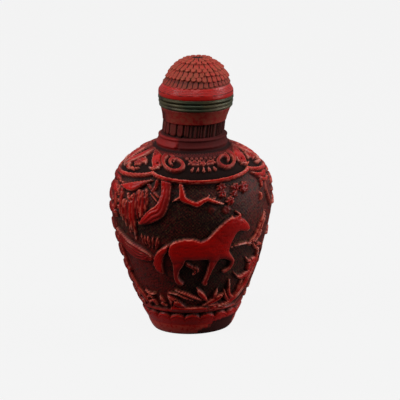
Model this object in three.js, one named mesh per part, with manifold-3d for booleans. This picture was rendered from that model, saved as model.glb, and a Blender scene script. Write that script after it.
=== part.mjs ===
// A snuff bottle of carved red lacquer, flattened from front to back, with a domed stopper.
// Millimetres, +Z up, the front towards -Y, the origin in the middle of the foot's underside.
// The body's outer face is carved back to a lower ground, and the figures stand up from that
// ground to the old outer face.
import * as THREE from "three";
import { ParametricGeometry } from "three/addons/geometries/ParametricGeometry.js";
import { TessellateModifier } from "three/addons/modifiers/TessellateModifier.js";
import { mergeVertices } from "three/addons/utils/BufferGeometryUtils.js";
import Module from "manifold-3d";

// Body
const bellyRadius = 22.9; // half the width
const bellyHeight = 36.1; // height of the widest place
const flattening = 0.8; // depth of the body as a share of its width
const shoulderHeight = 52.8; // where the shoulder meets the neck
const reliefHeight = 1.3; // from the ground up to the tops of the figures
const wall = 2.6; // lacquer behind the ground
const floorThickness = 4.2;
const floorCorner = 1.6; // slope between the floor and the walls of the hollow

// Foot
const footRadius = 11;
const footTopRadius = 12.4;
const footHeight = 3.3;
const footEdge = 0.35; // rounding of the lower edge
const rimWidth = 2.4; // flat rim that the bottle stands on, round a recess
const recessDepth = 0.7;
const crestCount = 20;
const crestBand = 3.1; // row of crests above the foot
const crestDepth = 1.2; // from the tops of the crests down to the notches between them
const grooveWidth = 0.5; // between the crests and the ledge
const ledgeWidth = 1.1; // under the scene
const ledgeDrop = 0.35; // below the outer face

// Shoulder
const lobeCount = 4;
const borderWidth = 1.25;
const borderDrop = 12.7; // along the slope, from the neck to the lowest point of the border
const cuspDrop = 10; // along the slope, from the neck to where two lobes of the border meet
const scrollDrop = 6.4;
const scrollRadius = 3.5;
const scrollWidth = 0.9;
const shoulderFlowerRadius = 1.9;

// Neck
const neckRadius = 8.5;
const neckHeight = 10.1;
const neckLean = 1.1; // how far its top stands to the viewer's right
const neckRingRadius = 9.8;
const neckRingHeight = 2.6;
const lipRadius = 9.6;
const lipBandHeight = 3.7; // plain band under the lip
const fluteCount = 20;
const fluteDepth = 0.55;
const mouthRadius = 4.25;
const stepSlope = 0.45; // slope at the steps of the neck

// Metal collar round the mouth
const collarOverhang = 0.5; // beyond the lip
const collarHeight = 1.95;
const collarGroove = 0.3;
const metalEdge = 0.2;

// Stopper: a metal mount with a spigot, and the carved dome on it
const mountOverhang = 0.1; // beyond the collar
const mountHeight = 1.15;
const spigotLength = 5;
const spigotClearance = 0.3;
const domeInset = 0.05; // from the mount's rim in to the dome
const domeHeight = 10.1;
const domeBandHeight = 1.4; // straight part under the petals
const petalCount = 18;
const petalDepth = 0.4;
const rosetteRadius = 1.3;

const neckTop = shoulderHeight + neckHeight;
const collarTop = neckTop + collarHeight;
const mountTop = collarTop + mountHeight;
const collarRadius = lipRadius + collarOverhang;
const mountRadius = collarRadius + mountOverhang;
const domeRadius = mountRadius - domeInset;

const { lerp, clamp, smoothstep } = THREE.MathUtils;
const TURN = 2 * Math.PI;
const wasm = await Module();
wasm.setup();

// A closed three.js geometry as a solid that can be joined and cut.
function solidOf(geometry) {
  const bare = geometry.index ? geometry.toNonIndexed() : geometry.clone();
  bare.deleteAttribute("normal");
  bare.deleteAttribute("uv");
  const merged = mergeVertices(bare, 1e-3);
  return new wasm.Manifold(
    new wasm.Mesh({
      numProp: 3,
      vertProperties: merged.attributes.position.array,
      triVerts: new Uint32Array(merged.index.array),
    }),
  );
}

function geometryOf(solid) {
  const mesh = solid.getMesh();
  const geometry = new THREE.BufferGeometry();
  geometry.setAttribute("position", new THREE.BufferAttribute(mesh.vertProperties, 3));
  geometry.setIndex(new THREE.BufferAttribute(mesh.triVerts, 1));
  geometry.computeVertexNormals();
  return geometry;
}

const join = (solids) => solids.reduce((whole, next) => whole.add(next));

// Half the outline of the uncarved body, from the top of the foot to the neck: x is the half
// width and y the height. The handles of its two curves are shares of what each one spans.
function bodyOutline() {
  const point = (x, y) => new THREE.Vector2(x, y);
  const flare = bellyRadius - footTopRadius;
  const rise = bellyHeight - footHeight;
  const slope = bellyRadius - neckRingRadius;
  const drop = shoulderHeight - bellyHeight;
  const belly = point(bellyRadius, bellyHeight);
  const outline = new THREE.CurvePath();
  outline.add(
    new THREE.CubicBezierCurve(
      point(footTopRadius, footHeight),
      point(footTopRadius + 0.55 * flare, footHeight + 0.29 * rise),
      point(bellyRadius, bellyHeight - 0.16 * rise),
      belly,
    ),
  );
  outline.add(
    new THREE.CubicBezierCurve(
      belly,
      point(bellyRadius, bellyHeight + 0.53 * drop),
      point(neckRingRadius + 0.71 * slope, shoulderHeight - 0.18 * drop),
      point(neckRingRadius, shoulderHeight),
    ),
  );
  return outline;
}

const outline = bodyOutline();
const outlineLength = outline.getLength();

// The body is oval up to the shoulder and turns round towards the neck.
function depthShare(height) {
  const ovalTop = lerp(bellyHeight, shoulderHeight, 0.45);
  return lerp(flattening, 1, smoothstep(height, ovalTop, shoulderHeight));
}

const leanAt = (height) => neckLean * clamp((height - shoulderHeight) / neckHeight, 0, 1);
const upright = () => 0;

// The place on the outline that is some way up it from the foot, with its outward normal.
function station(arc) {
  const share = clamp(arc / outlineLength, 0, 1);
  const { x: radius, y: height } = outline.getPoint(share);
  const { x: sideways, y: upwards } = outline.getTangent(share);
  return { radius, height, out: upwards, up: -sideways };
}

// The way up the outline at which it reaches a height.
function arcAt(height) {
  let low = 0;
  let high = outlineLength;
  for (let halving = 0; halving < 24; halving++) {
    const middle = (low + high) / 2;
    if (station(middle).height < height) low = middle;
    else high = middle;
  }
  return low;
}

// An oval ring round the axis: half width, half depth and height.
const ring = (radius, height, share = 1) => ({ radius, depth: radius * share, height });

// The ring at a place on the outline, lifted off it along its normal.
function ringOn(arc, lift) {
  const { radius, height, out, up } = station(arc);
  return {
    radius: radius + lift * out,
    depth: radius * depthShare(height) + lift * out,
    height: height + lift * up,
  };
}

function ringPoint({ radius, depth, height }, angle, lean, target) {
  return target.set(radius * Math.sin(angle) + lean(height), -depth * Math.cos(angle), height);
}

// A closed surface through rings, from the axis to the axis.
// At every other column it runs through a ring's own `between` ring, if it has one.
function loft(rings, columns, lean = leanAt) {
  const surface = (u, v, target) => {
    const ringHere = rings[Math.round(v * (rings.length - 1))];
    const column = Math.round(u * columns);
    const { between = ringHere } = ringHere;
    ringPoint(column % 2 ? between : ringHere, (column / columns) * TURN, lean, target);
  };
  return new ParametricGeometry(surface, columns, rings.length - 1);
}

// The body with its ground carved back, before the figures are added.
function bodyGround() {
  const crestTop = footHeight + crestBand;
  const ledgeBase = crestTop + 2 * grooveWidth;
  const ledgeTop = ledgeBase + ledgeWidth;
  const recessRadius = footRadius - rimWidth;
  const rootHeight = shoulderHeight - reliefHeight;
  const foot = (radius, height) => ring(radius, height, flattening);
  const crest = {
    ...ringOn(arcAt(crestTop), 0),
    between: ringOn(arcAt(crestTop - crestDepth), 0),
  };
  const rings = [
    foot(0, recessDepth),
    foot(recessRadius, recessDepth),
    foot(recessRadius, 0),
    foot(footRadius - footEdge, 0),
    foot(footRadius, footEdge),
    foot(footTopRadius, footHeight),
    crest,
    ringOn(arcAt(crestTop + grooveWidth), -reliefHeight),
    ringOn(arcAt(ledgeBase), -ledgeDrop),
    ringOn(arcAt(ledgeTop), -ledgeDrop),
  ];
  // The rows of the ground lie closer where the shoulder bends in.
  const groundRows = 8;
  const groundBase = arcAt(ledgeTop + grooveWidth);
  const groundTop = outlineLength - reliefHeight;
  for (let row = 0; row <= groundRows; row++) {
    const share = 1 - (1 - row / groundRows) ** 1.4;
    rings.push(ringOn(lerp(groundBase, groundTop, share), -reliefHeight));
  }
  rings.push(ring(neckRadius, rootHeight), ring(0, rootHeight));
  return solidOf(loft(rings, 2 * crestCount));
}

// The neck: a ring at its root, flutes, and a plain band that widens to the lip.
function neck() {
  const base = shoulderHeight - reliefHeight;
  const ringTop = shoulderHeight + neckRingHeight;
  const bandBase = neckTop - lipBandHeight;
  const flutes = (height) => ({
    ...ring(neckRadius, height),
    between: ring(neckRadius - fluteDepth, height),
  });
  const rings = [
    ring(0, base),
    ring(neckRingRadius - stepSlope, base),
    ring(neckRingRadius, shoulderHeight + stepSlope),
    ring(neckRingRadius - metalEdge / 2, ringTop - stepSlope),
    ring(neckRadius, ringTop),
    flutes(ringTop + stepSlope),
    flutes(bandBase - stepSlope),
    ring(neckRadius, bandBase),
    ring(lerp(neckRadius, lipRadius, 0.5), lerp(bandBase, neckTop, 0.55)),
    ring(lipRadius, neckTop),
    ring(0, neckTop),
  ];
  return solidOf(loft(rings, 2 * fluteCount));
}

// The hollow: an oval chamber behind an even wall, and a straight bore up to the mouth.
function hollow() {
  const columns = 20;
  const rows = 5;
  const lift = -(reliefHeight + wall);
  const lowest = arcAt(floorThickness + floorCorner / 2);
  const highest = outlineLength - wall;
  const walls = [];
  for (let row = 0; row <= rows; row++) {
    walls.push(ringOn(lerp(lowest, highest, row / rows), lift));
  }
  const floor = ring(walls[0].radius - floorCorner, floorThickness, flattening);
  const roof = walls[rows].height + floorCorner / 2;
  const chamber = loft([ring(0, floorThickness), floor, ...walls, ring(0, roof)], columns);
  const boreBase = walls[rows].height - floorCorner / 2;
  const boreTop = neckTop + 1;
  const bore = new THREE.CylinderGeometry(mouthRadius, mouthRadius, boreTop - boreBase, columns);
  bore.rotateX(Math.PI / 2);
  bore.translate(neckLean, 0, (boreBase + boreTop) / 2);
  return solidOf(chamber).add(solidOf(bore));
}

// A stroke that widens and narrows through [x, y, half width] points, as a flat outline.
// At an end without width it runs out to a point.
function stroke(points, steps = Math.round(1.25 * (points.length - 1))) {
  const line = points.map(([x, y, half]) => new THREE.Vector3(x, y, half));
  const curve = new THREE.CatmullRomCurve3(line, false, "centripetal");
  const left = [];
  const right = [];
  for (let step = 0; step <= steps; step++) {
    const { x, y, z: half } = curve.getPoint(step / steps);
    const { x: alongX, y: alongY } = curve.getTangent(step / steps);
    const across = new THREE.Vector2(-alongY, alongX).setLength(half);
    left.push(new THREE.Vector2(x, y).add(across));
    if (half > 0) right.unshift(new THREE.Vector2(x, y).sub(across));
  }
  return new THREE.Shape([...left, ...right]);
}

// A four-petalled flower as a flat outline.
function flower(x, y, radius) {
  const corners = [];
  for (let corner = 0; corner < 8; corner++) {
    const angle = (corner / 8) * TURN;
    const reach = corner % 2 ? 0.6 * radius : radius;
    corners.push(new THREE.Vector2(x + reach * Math.cos(angle), y + reach * Math.sin(angle)));
  }
  return new THREE.Shape(corners);
}

// Flat outlines joined, raised off the ground and wrapped round the body. In the drawing
// x runs round the body from an angle, and y up the outline from the foot.
const sink = 0.5; // into the ground
const longestEdge = 6.5;
const splits = 14;

function raise(shapes, height, fromAngle = 0) {
  const depth = height + sink;
  const slabs = shapes.map((shape) => {
    return solidOf(new THREE.ExtrudeGeometry(shape, { depth, bevelEnabled: false }));
  });
  const flat = geometryOf(join(slabs)).toNonIndexed();
  const fine = new TessellateModifier(longestEdge, splits).modify(flat);
  const { position } = fine.attributes;
  const corner = new THREE.Vector3();
  for (let index = 0; index < position.count; index++) {
    const { x, y: arc, z: lift } = corner.fromBufferAttribute(position, index);
    const angle = fromAngle + x / station(arc).radius;
    ringPoint(ringOn(arc, lift - sink - reliefHeight), angle, leanAt, corner);
    position.setXYZ(index, ...corner);
  }
  return solidOf(fine);
}

// The scene is drawn with heights on a body of one size, and follows the real height.
const drawnHeight = 52.8;
const scale = shoulderHeight / drawnHeight;

function drawn(points) {
  return stroke(points.map(([x, height, half]) => [x * scale, arcAt(height * scale), half * scale]));
}

const mirrored = (strokes) => {
  return strokes.map((points) => points.map(([x, height, half]) => [-x, height, half]));
};

const barrel = [
  [-7.4, 27.0, 2.6], [-4.4, 27.0, 3.1], [-1.2, 26.5, 2.9], [1.5, 26.9, 3.0], [4.3, 27.0, 2.9],
];
const tail = [
  [-9.4, 28.4, 0.5], [-11.4, 26.6, 0.7], [-13.2, 24.6, 1.1], [-13.3, 22.0, 1.15], [-11.8, 19.5, 0],
];
const hindLeg = [
  [-7.6, 25.6, 2.3], [-6.9, 23.0, 1.5], [-7.3, 20.6, 0.8], [-7.1, 18.4, 0.6], [-6.4, 16.8, 0.75],
];
const foreleg = [
  [2.9, 25.2, 1.6], [2.1, 22.6, 0.95], [1.5, 20.2, 0.65], [1.1, 17.8, 0.55], [0.9, 16.8, 0.7],
];
const farHindLeg = [[-5.2, 23.2, 1.0], [-3.7, 21.2, 0.6], [-3.1, 19.4, 0.5]];

const walkingHorse = [
  barrel,
  tail,
  hindLeg,
  foreleg,
  [[4.1, 28.6, 3.5], [6.0, 31.2, 3.0], [7.9, 33.0, 2.3]], // neck
  [[9.4, 33.5, 1.9], [11.6, 32.6, 1.35], [13.1, 31.6, 1.0]], // head
  [[9.3, 34.8, 0.6], [9.1, 37.0, 0]], // ear
  [[5.4, 25.2, 1.4], [7.6, 23.3, 0.95], [8.5, 21.9, 0.65], [7.2, 20.4, 0.55], [5.5, 19.2, 0.6]],
];

const grazingHorse = [
  barrel,
  tail,
  hindLeg,
  foreleg,
  [[4.4, 28.0, 3.0], [7.6, 26.2, 2.2], [10.0, 23.0, 1.5]], // neck
  [[10.3, 22.4, 1.5], [11.0, 20.2, 1.1], [11.3, 18.4, 0.85]], // head
  [[9.2, 23.6, 0.5], [7.9, 22.6, 0]], // ear
  [[5.6, 25.2, 1.5], [6.1, 22.4, 0.85], [5.9, 19.6, 0.6], [6.2, 16.8, 0.7]],
];

const trunk = [
  [-10.3, 46.9, 1.65], [-10.9, 43.0, 1.6], [-12.2, 40.2, 1.75], [-14.4, 38.0, 1.9],
  [-17.2, 36.0, 1.3], [-20.2, 33.7, 0],
];
const bough = [
  [-6.7, 45.2, 0.9], [-6.5, 42.6, 0.85], [-4.4, 40.1, 0.8], [-1.9, 39.2, 0.7],
  [0.9, 40.8, 0.65], [2.6, 41.0, 0.5], [5.3, 39.5, 0],
];
const twigs = [
  [[-6.0, 41.4, 0.8], [-9.5, 40.5, 0]],
  [[1.8, 40.8, 0.5], [3.5, 42.3, 0]],
];
const tufts = [[4.9, 42.8], [8.3, 43.3], [12.3, 43.6], [7.7, 40.2], [4.0, 38.0]];
const tuftRadius = 1.45;

const fronds = [
  [[-24.0, 42.8, 0.9], [-23.6, 31.6, 0.4]],
  [[-21.6, 43.4, 0.8], [-21.4, 32.2, 0.4]],
  [[-19.4, 43.4, 0.7], [-19.0, 35.6, 0.3]],
];
const stems = [
  [[-28.0, 45.6, 0.45], [-26.6, 41.6, 0.5], [-26.9, 37.6, 0.6], [-27.4, 34.0, 0.5]],
  [[20.9, 43.4, 0.4], [24.3, 34.8, 0.5]],
];
const leaves = [
  [[-25.7, 45.6, 0.2], [-22.6, 44.4, 1.2], [-19.6, 45.0, 1.0], [-16.2, 46.5, 0]],
  [[16.6, 46.4, 0], [19.8, 45.0, 0.9], [22.4, 44.6, 1.0], [25.0, 45.6, 0.2]],
  [[-29.4, 30.0, 0.3], [-25.6, 27.6, 1.2], [-21.0, 25.2, 1.5], [-17.2, 23.8, 1.0], [-14.6, 22.9, 0.2]],
  [[23.4, 34.0, 0], [21.0, 30.6, 0.7], [18.6, 28.4, 0.7], [15.6, 27.6, 0.3], [9.0, 26.8, 0]],
];
const cliff = [
  [22.2, 24.0, 0.3], [20.2, 20.4, 1.3], [17.9, 16.6, 1.6], [15.0, 12.6, 1.6], [12.0, 9.6, 1.2],
];
const spurs = [
  [[18.6, 18.4, 1.2], [14.8, 17.8, 0]],
  [[2.6, 8.8, 0.5], [7.4, 10.4, 0.8], [11.4, 12.8, 0.7], [14.2, 15.0, 0.3]],
];
const rocks = [
  [[-13.4, 8.9, 0.9], [-10.6, 10.2, 1.3], [-7.8, 9.2, 0.9]],
  [[-10.2, 12.0, 0.3], [-5.6, 12.5, 0.6], [-1.2, 11.6, 0.7], [3.0, 10.6, 0.3]],
  [[-6.4, 11.0, 0.9], [-4.4, 9.6, 1.2], [-1.6, 8.7, 0.8], [3.2, 8.9, 0.6]],
];

// A broad tree with rocks at its root covers each narrow side of the body.
const sideTree = [
  [0, 46.5, 3.0], [1.0, 40.5, 5.2], [-0.6, 34.5, 4.8], [0.8, 27.0, 4.4], [-0.7, 19.0, 4.2],
  [0.2, 9.0, 5.0],
];

function frontScene() {
  const tuft = ([x, height]) => flower(x * scale, arcAt(height * scale), tuftRadius * scale);
  return [
    raise([...walkingHorse, trunk, bough, ...twigs].map(drawn), reliefHeight),
    raise([...leaves, cliff, ...spurs].map(drawn), 0.85 * reliefHeight),
    raise([...fronds, ...stems, farHindLeg, ...rocks].map(drawn), 0.7 * reliefHeight),
    raise(tufts.map(tuft), 0.5 * reliefHeight),
  ];
}

function sideScenes() {
  const side = TURN / 4;
  return [
    raise([drawn(sideTree)], reliefHeight, side),
    raise(mirrored([sideTree]).map(drawn), reliefHeight, -side),
  ];
}

// The back has a plainer scene: the same tree and rocks, and a grazing horse.
function backScene() {
  const back = TURN / 2;
  const tall = mirrored([...grazingHorse, trunk, bough]);
  const low = mirrored([cliff, ...rocks.slice(1)]);
  return [
    raise(tall.map(drawn), reliefHeight, back),
    raise(low.map(drawn), 0.7 * reliefHeight, back),
  ];
}

// Places on the shoulder are measured along the slope, down from the neck.
const belowNeck = (distance) => outlineLength - distance * scale;

// One lobe of the raised border, from cusp to cusp.
function borderLobe() {
  const steps = 6;
  const path = [];
  for (let step = 0; step <= steps; step++) {
    const along = (2 * step) / steps - 1;
    const dip = Math.cos((along * Math.PI) / 2) ** 0.6;
    const arc = belowNeck(lerp(cuspDrop, borderDrop, dip));
    path.push([((along * TURN) / lobeCount / 2) * station(arc).radius, arc, borderWidth / 2]);
  }
  return stroke(path, steps);
}

// A scroll on one side of a lobe, which starts towards the flower and winds in.
function scroll(side) {
  const steps = 5;
  const path = [];
  for (let step = 0; step <= steps; step++) {
    const share = step / steps;
    const turned = lerp(0.5, 1.425, share) * TURN;
    const reach = scrollRadius * lerp(1, 0.37, share ** 1.3);
    const x = side * (2 * scrollRadius - reach * Math.cos(turned));
    path.push([x, belowNeck(scrollDrop) + reach * Math.sin(turned), scrollWidth / 2]);
  }
  return stroke(path, steps);
}

function shoulderCarving() {
  const lobe = TURN / lobeCount;
  const blossom = flower(0, belowNeck(scrollDrop), shoulderFlowerRadius);
  const leaf = stroke(
    [[0, belowNeck(3.2), 0.5], [0.2, belowNeck(5.8), 1.7], [0, belowNeck(8.8), 0.3]],
    3,
  );
  const solids = [];
  for (let index = 0; index < lobeCount; index++) {
    const angle = index * lobe;
    solids.push(raise([borderLobe()], reliefHeight, angle));
    solids.push(raise([scroll(-1), scroll(1), blossom], 0.75 * reliefHeight, angle));
    solids.push(raise([leaf], 0.8 * reliefHeight, angle + lobe / 2));
  }
  return solids;
}

function bottle() {
  const figures = [...frontScene(), ...sideScenes(), ...backScene(), ...shoulderCarving()];
  const carved = join([bodyGround(), neck(), ...figures]);
  return geometryOf(carved.subtract(hollow()));
}

// A turned piece, from half its section as [radius, height] points.
function turnedPiece(section) {
  const points = section.map(([radius, height]) => new THREE.Vector2(radius, height));
  return new THREE.LatheGeometry(points, 24).rotateX(Math.PI / 2);
}

function mouthCollar() {
  const grooveHeight = 0.5 * collarHeight;
  return turnedPiece([
    [mouthRadius, 0],
    [lipRadius, 0],
    [collarRadius - metalEdge, grooveHeight - metalEdge],
    [collarRadius - collarGroove - metalEdge, grooveHeight],
    [collarRadius, grooveHeight + metalEdge],
    [collarRadius, collarHeight - metalEdge],
    [collarRadius - metalEdge, collarHeight],
    [mouthRadius, collarHeight],
    [mouthRadius, 0],
  ]);
}

function stopperMount() {
  const spigotRadius = mouthRadius - spigotClearance;
  return turnedPiece([
    [0, -spigotLength],
    [spigotRadius - 2 * metalEdge, -spigotLength],
    [spigotRadius, 2 * metalEdge - spigotLength],
    [spigotRadius, 0],
    [mountRadius - metalEdge, 0],
    [mountRadius, metalEdge],
    [mountRadius, mountHeight - metalEdge],
    [mountRadius - metalEdge, mountHeight],
    [0, mountHeight],
  ]);
}

// The dome: a plain band, then rows of petals whose tips stand out over the row below.
function dome() {
  const share = (across, up) => new THREE.Vector2(across * domeRadius, up * domeHeight);
  const crown = new THREE.SplineCurve([
    new THREE.Vector2(domeRadius, domeBandHeight),
    share(0.9, 0.34),
    share(0.79, 0.56),
    share(0.64, 0.77),
    share(0.36, 0.93),
    share(0, 0.975),
  ]);
  const on = (along, lift) => {
    const { x, y } = crown.getPointAt(along);
    const tangent = crown.getTangentAt(along);
    return ring(x + lift * tangent.y, y - lift * tangent.x);
  };
  const rings = [ring(0, 0), ring(domeRadius, 0), ring(domeRadius, domeBandHeight)];
  [0.09, 0.27, 0.42, 0.56, 0.7].forEach((tipAt, row) => {
    const tip = on(tipAt + 0.01, petalDepth);
    const notch = on(tipAt + 0.06, petalDepth / 4);
    rings.push(on(tipAt - 0.01, 0));
    rings.push(row % 2 ? { ...notch, between: tip } : { ...tip, between: notch });
  });
  rings.push(on(0.84, 0), ring(rosetteRadius, domeHeight), ring(0, domeHeight));
  return loft(rings, 2 * petalCount, upright);
}

const lacquer = new THREE.MeshStandardMaterial({ color: 0x8a1512, roughness: 0.42, metalness: 0 });
const brass = new THREE.MeshStandardMaterial({ color: 0x4a4a30, roughness: 0.5, metalness: 0.8 });

function piece(name, geometry, material, x = 0, z = 0) {
  const mesh = new THREE.Mesh(geometry, material);
  mesh.name = name;
  mesh.position.set(x, 0, z);
  return mesh;
}

const snuffBottle = new THREE.Group();
snuffBottle.add(
  piece("bottle", bottle(), lacquer),
  piece("mouth_collar", mouthCollar(), brass, neckLean, neckTop),
  piece("stopper_mount", stopperMount(), brass, neckLean, collarTop),
  piece("stopper_dome", dome(), lacquer, neckLean, mountTop),
);

export default snuffBottle;
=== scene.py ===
"""A snuff bottle of carved red lacquer with a domed stopper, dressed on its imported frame.

Shapes are worked out in millimetres and scaled to metres when a mesh is made. Angles round the
bottle start at its front (-Y) and grow towards +X.
"""

import math

import bpy
import numpy as np
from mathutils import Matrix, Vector


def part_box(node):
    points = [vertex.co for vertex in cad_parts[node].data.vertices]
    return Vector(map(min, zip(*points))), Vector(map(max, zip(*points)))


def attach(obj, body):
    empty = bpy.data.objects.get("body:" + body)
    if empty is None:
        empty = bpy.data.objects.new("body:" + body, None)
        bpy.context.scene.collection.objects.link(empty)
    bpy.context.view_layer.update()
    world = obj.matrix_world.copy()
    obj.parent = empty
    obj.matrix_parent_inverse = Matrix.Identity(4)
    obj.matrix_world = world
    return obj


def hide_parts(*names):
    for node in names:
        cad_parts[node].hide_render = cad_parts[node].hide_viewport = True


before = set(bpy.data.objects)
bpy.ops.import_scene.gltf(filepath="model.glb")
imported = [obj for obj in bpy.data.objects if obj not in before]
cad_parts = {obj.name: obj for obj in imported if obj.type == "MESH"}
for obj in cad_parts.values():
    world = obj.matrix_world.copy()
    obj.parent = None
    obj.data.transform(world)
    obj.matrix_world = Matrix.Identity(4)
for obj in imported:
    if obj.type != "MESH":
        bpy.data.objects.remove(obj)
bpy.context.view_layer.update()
MM = 0.001
TURN = 2 * math.pi


def box(node):
    """Lowest and highest corner of a CAD node, in millimetres."""
    return [np.array(corner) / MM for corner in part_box(node)]


# Sizes from the frame
bottle_low, bottle_high = box("bottle")
collar_low, collar_high = box("mouth_collar")
mount_low, mount_high = box("stopper_mount")
dome_low, dome_high = box("stopper_dome")
BELLY_RADIUS = (bottle_high[0] - bottle_low[0]) / 2
NECK_TOP = bottle_high[2]
NECK_LEAN = (collar_low[0] + collar_high[0]) / 2
COLLAR_RADIUS = (collar_high[1] - collar_low[1]) / 2
COLLAR_HEIGHT = collar_high[2] - collar_low[2]
MOUNT_RADIUS = (mount_high[1] - mount_low[1]) / 2
MOUNT_TOP = mount_high[2]
DOME_RADIUS = (dome_high[1] - dome_low[1]) / 2
DOME_HEIGHT = dome_high[2] - MOUNT_TOP

# Body, as in the solids
BELLY_HEIGHT = 36.1
FLATTENING = 0.8
SHOULDER_HEIGHT = 52.8
RELIEF = 1.3
WALL = 2.6
FLOOR = 4.2
FOOT_RADIUS = 11.0
FOOT_TOP_RADIUS = 12.4
FOOT_HEIGHT = 3.3
RIM_WIDTH = 2.4
RECESS_DEPTH = 0.7
CREST_COUNT = 20
CREST_BAND = 3.1
NECK_RADIUS = 8.5
NECK_RING_RADIUS = 9.8
NECK_RING_HEIGHT = 2.6
LIP_RADIUS = 9.6
LIP_BAND_HEIGHT = 3.7
FLUTE_COUNT = 24
FLUTE_DEPTH = 0.55
MOUTH_RADIUS = 4.25
SPIGOT_LENGTH = 5.0
SPIGOT_CLEARANCE = 0.3
LOBES = 4
FAR = 99.0


# Small number helpers


def smooth(value):
    """Eases 0 to 1."""
    value = np.clip(value, 0, 1)
    return value * value * (3 - 2 * value)


def between(low, high, value):
    return smooth((value - low) / (high - low))


def near(place, spread, value):
    """1 at a place, easing to 0 at a spread from it."""
    return smooth(1 - np.abs(value - place) / spread)


def ripple(*waves):
    """An uneven wave from a few sines of unlike lengths, between -1 and 1."""
    return sum(np.sin(wave) for wave in waves) / len(waves)


def bezier(a, b, c, d, count=240):
    a, b, c, d = (np.array(p, float) for p in (a, b, c, d))
    t = np.linspace(0, 1, count)[:, None]
    return (1 - t) ** 3 * a + 3 * (1 - t) ** 2 * t * b + 3 * (1 - t) * t**2 * c + t**3 * d


def catmull(points, steps):
    """A smooth line through points, with some steps on each stretch."""
    points = np.array(points, float)
    padded = np.vstack([2 * points[0] - points[1], points, 2 * points[-1] - points[-2]])
    line = []
    for a, b, c, d in zip(padded, padded[1:], padded[2:], padded[3:]):
        for t in np.arange(steps) / steps:
            bend = (2 * a - 5 * b + 4 * c - d) * t**2 + (3 * b - a - 3 * c + d) * t**3
            line.append(b + 0.5 * ((c - a) * t + bend))
    line.append(points[-1])
    return np.array(line)


def lines(coordinate, spacing, width):
    """1 on lines that repeat along a coordinate, at 0 and each spacing from it, and 0 between them."""
    off = np.abs((coordinate / spacing + 0.5) % 1 - 0.5) * spacing
    return smooth(1 - off / width)


# The outline of the uncarved body, from the top of the foot to the neck


def body_outline():
    flare, rise = BELLY_RADIUS - FOOT_TOP_RADIUS, BELLY_HEIGHT - FOOT_HEIGHT
    taper, drop = BELLY_RADIUS - NECK_RING_RADIUS, SHOULDER_HEIGHT - BELLY_HEIGHT
    belly = (BELLY_RADIUS, BELLY_HEIGHT)
    lower = bezier(
        (FOOT_TOP_RADIUS, FOOT_HEIGHT),
        (FOOT_TOP_RADIUS + 0.55 * flare, FOOT_HEIGHT + 0.29 * rise),
        (BELLY_RADIUS, BELLY_HEIGHT - 0.16 * rise),
        belly,
    )
    upper = bezier(
        belly,
        (BELLY_RADIUS, BELLY_HEIGHT + 0.53 * drop),
        (NECK_RING_RADIUS + 0.71 * taper, SHOULDER_HEIGHT - 0.18 * drop),
        (NECK_RING_RADIUS, SHOULDER_HEIGHT),
    )
    return np.vstack([lower, upper[1:]])


OUTLINE = body_outline()
spans = np.diff(OUTLINE, axis=0)
ARCS = np.concatenate([[0], np.cumsum(np.hypot(spans[:, 0], spans[:, 1]))])
LENGTH = ARCS[-1]
tangents = np.gradient(OUTLINE, ARCS, axis=0)
tangents /= np.hypot(tangents[:, 0], tangents[:, 1])[:, None]


def on_outline(arc):
    """Half width, height and outward normal of the body at a way up its outline."""
    radius, height, sideways, upwards = (
        np.interp(arc, ARCS, column) for column in (*OUTLINE.T, *tangents.T)
    )
    return radius, height, upwards, -sideways


def arc_at(height):
    return np.interp(height, OUTLINE[:, 1], ARCS)


def depth_share(height):
    """The body is oval up to the shoulder and turns round towards the neck."""
    oval_top = BELLY_HEIGHT + 0.45 * (SHOULDER_HEIGHT - BELLY_HEIGHT)
    return FLATTENING + (1 - FLATTENING) * between(oval_top, SHOULDER_HEIGHT, height)


def lean_at(height):
    return NECK_LEAN * np.clip((height - SHOULDER_HEIGHT) / (NECK_TOP - SHOULDER_HEIGHT), 0, 1)


# The grid that the carving is worked out on: columns round the body, rows up its outline
ROW_STEP = 0.29
SEEN_STEP = 0.28
HIDDEN_STEP = 0.62
SEEN_FROM = math.radians(-112)
SEEN_TO = math.radians(88)


def column_angles():
    """Angles round the bottle, closer together on the side with the finer scene."""
    seen = int((SEEN_TO - SEEN_FROM) * BELLY_RADIUS * 0.9 / SEEN_STEP)
    hidden = int((TURN - SEEN_TO + SEEN_FROM) * BELLY_RADIUS * 0.9 / HIDDEN_STEP)
    front = np.linspace(SEEN_FROM, SEEN_TO, seen, endpoint=False)
    back = np.linspace(SEEN_TO, SEEN_FROM + TURN, hidden, endpoint=False)
    return np.concatenate([front, back])


ANGLES = column_angles()
ROW_ARCS = np.arange(0, LENGTH, ROW_STEP)
ROW_RADIUS, ROW_HEIGHT, ROW_OUT, ROW_UP = on_outline(ROW_ARCS)
ROUND = np.broadcast_to(ANGLES[None, :], (len(ROW_ARCS), len(ANGLES)))
ARC = np.broadcast_to(ROW_ARCS[:, None], ROUND.shape)
RADIUS = np.broadcast_to(ROW_RADIUS[:, None], ROUND.shape)
HEIGHT = np.broadcast_to(ROW_HEIGHT[:, None], ROUND.shape)


def turned(angles):
    """Angles brought to between -180 and 180 degrees."""
    return (angles + math.pi) % TURN - math.pi


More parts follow.
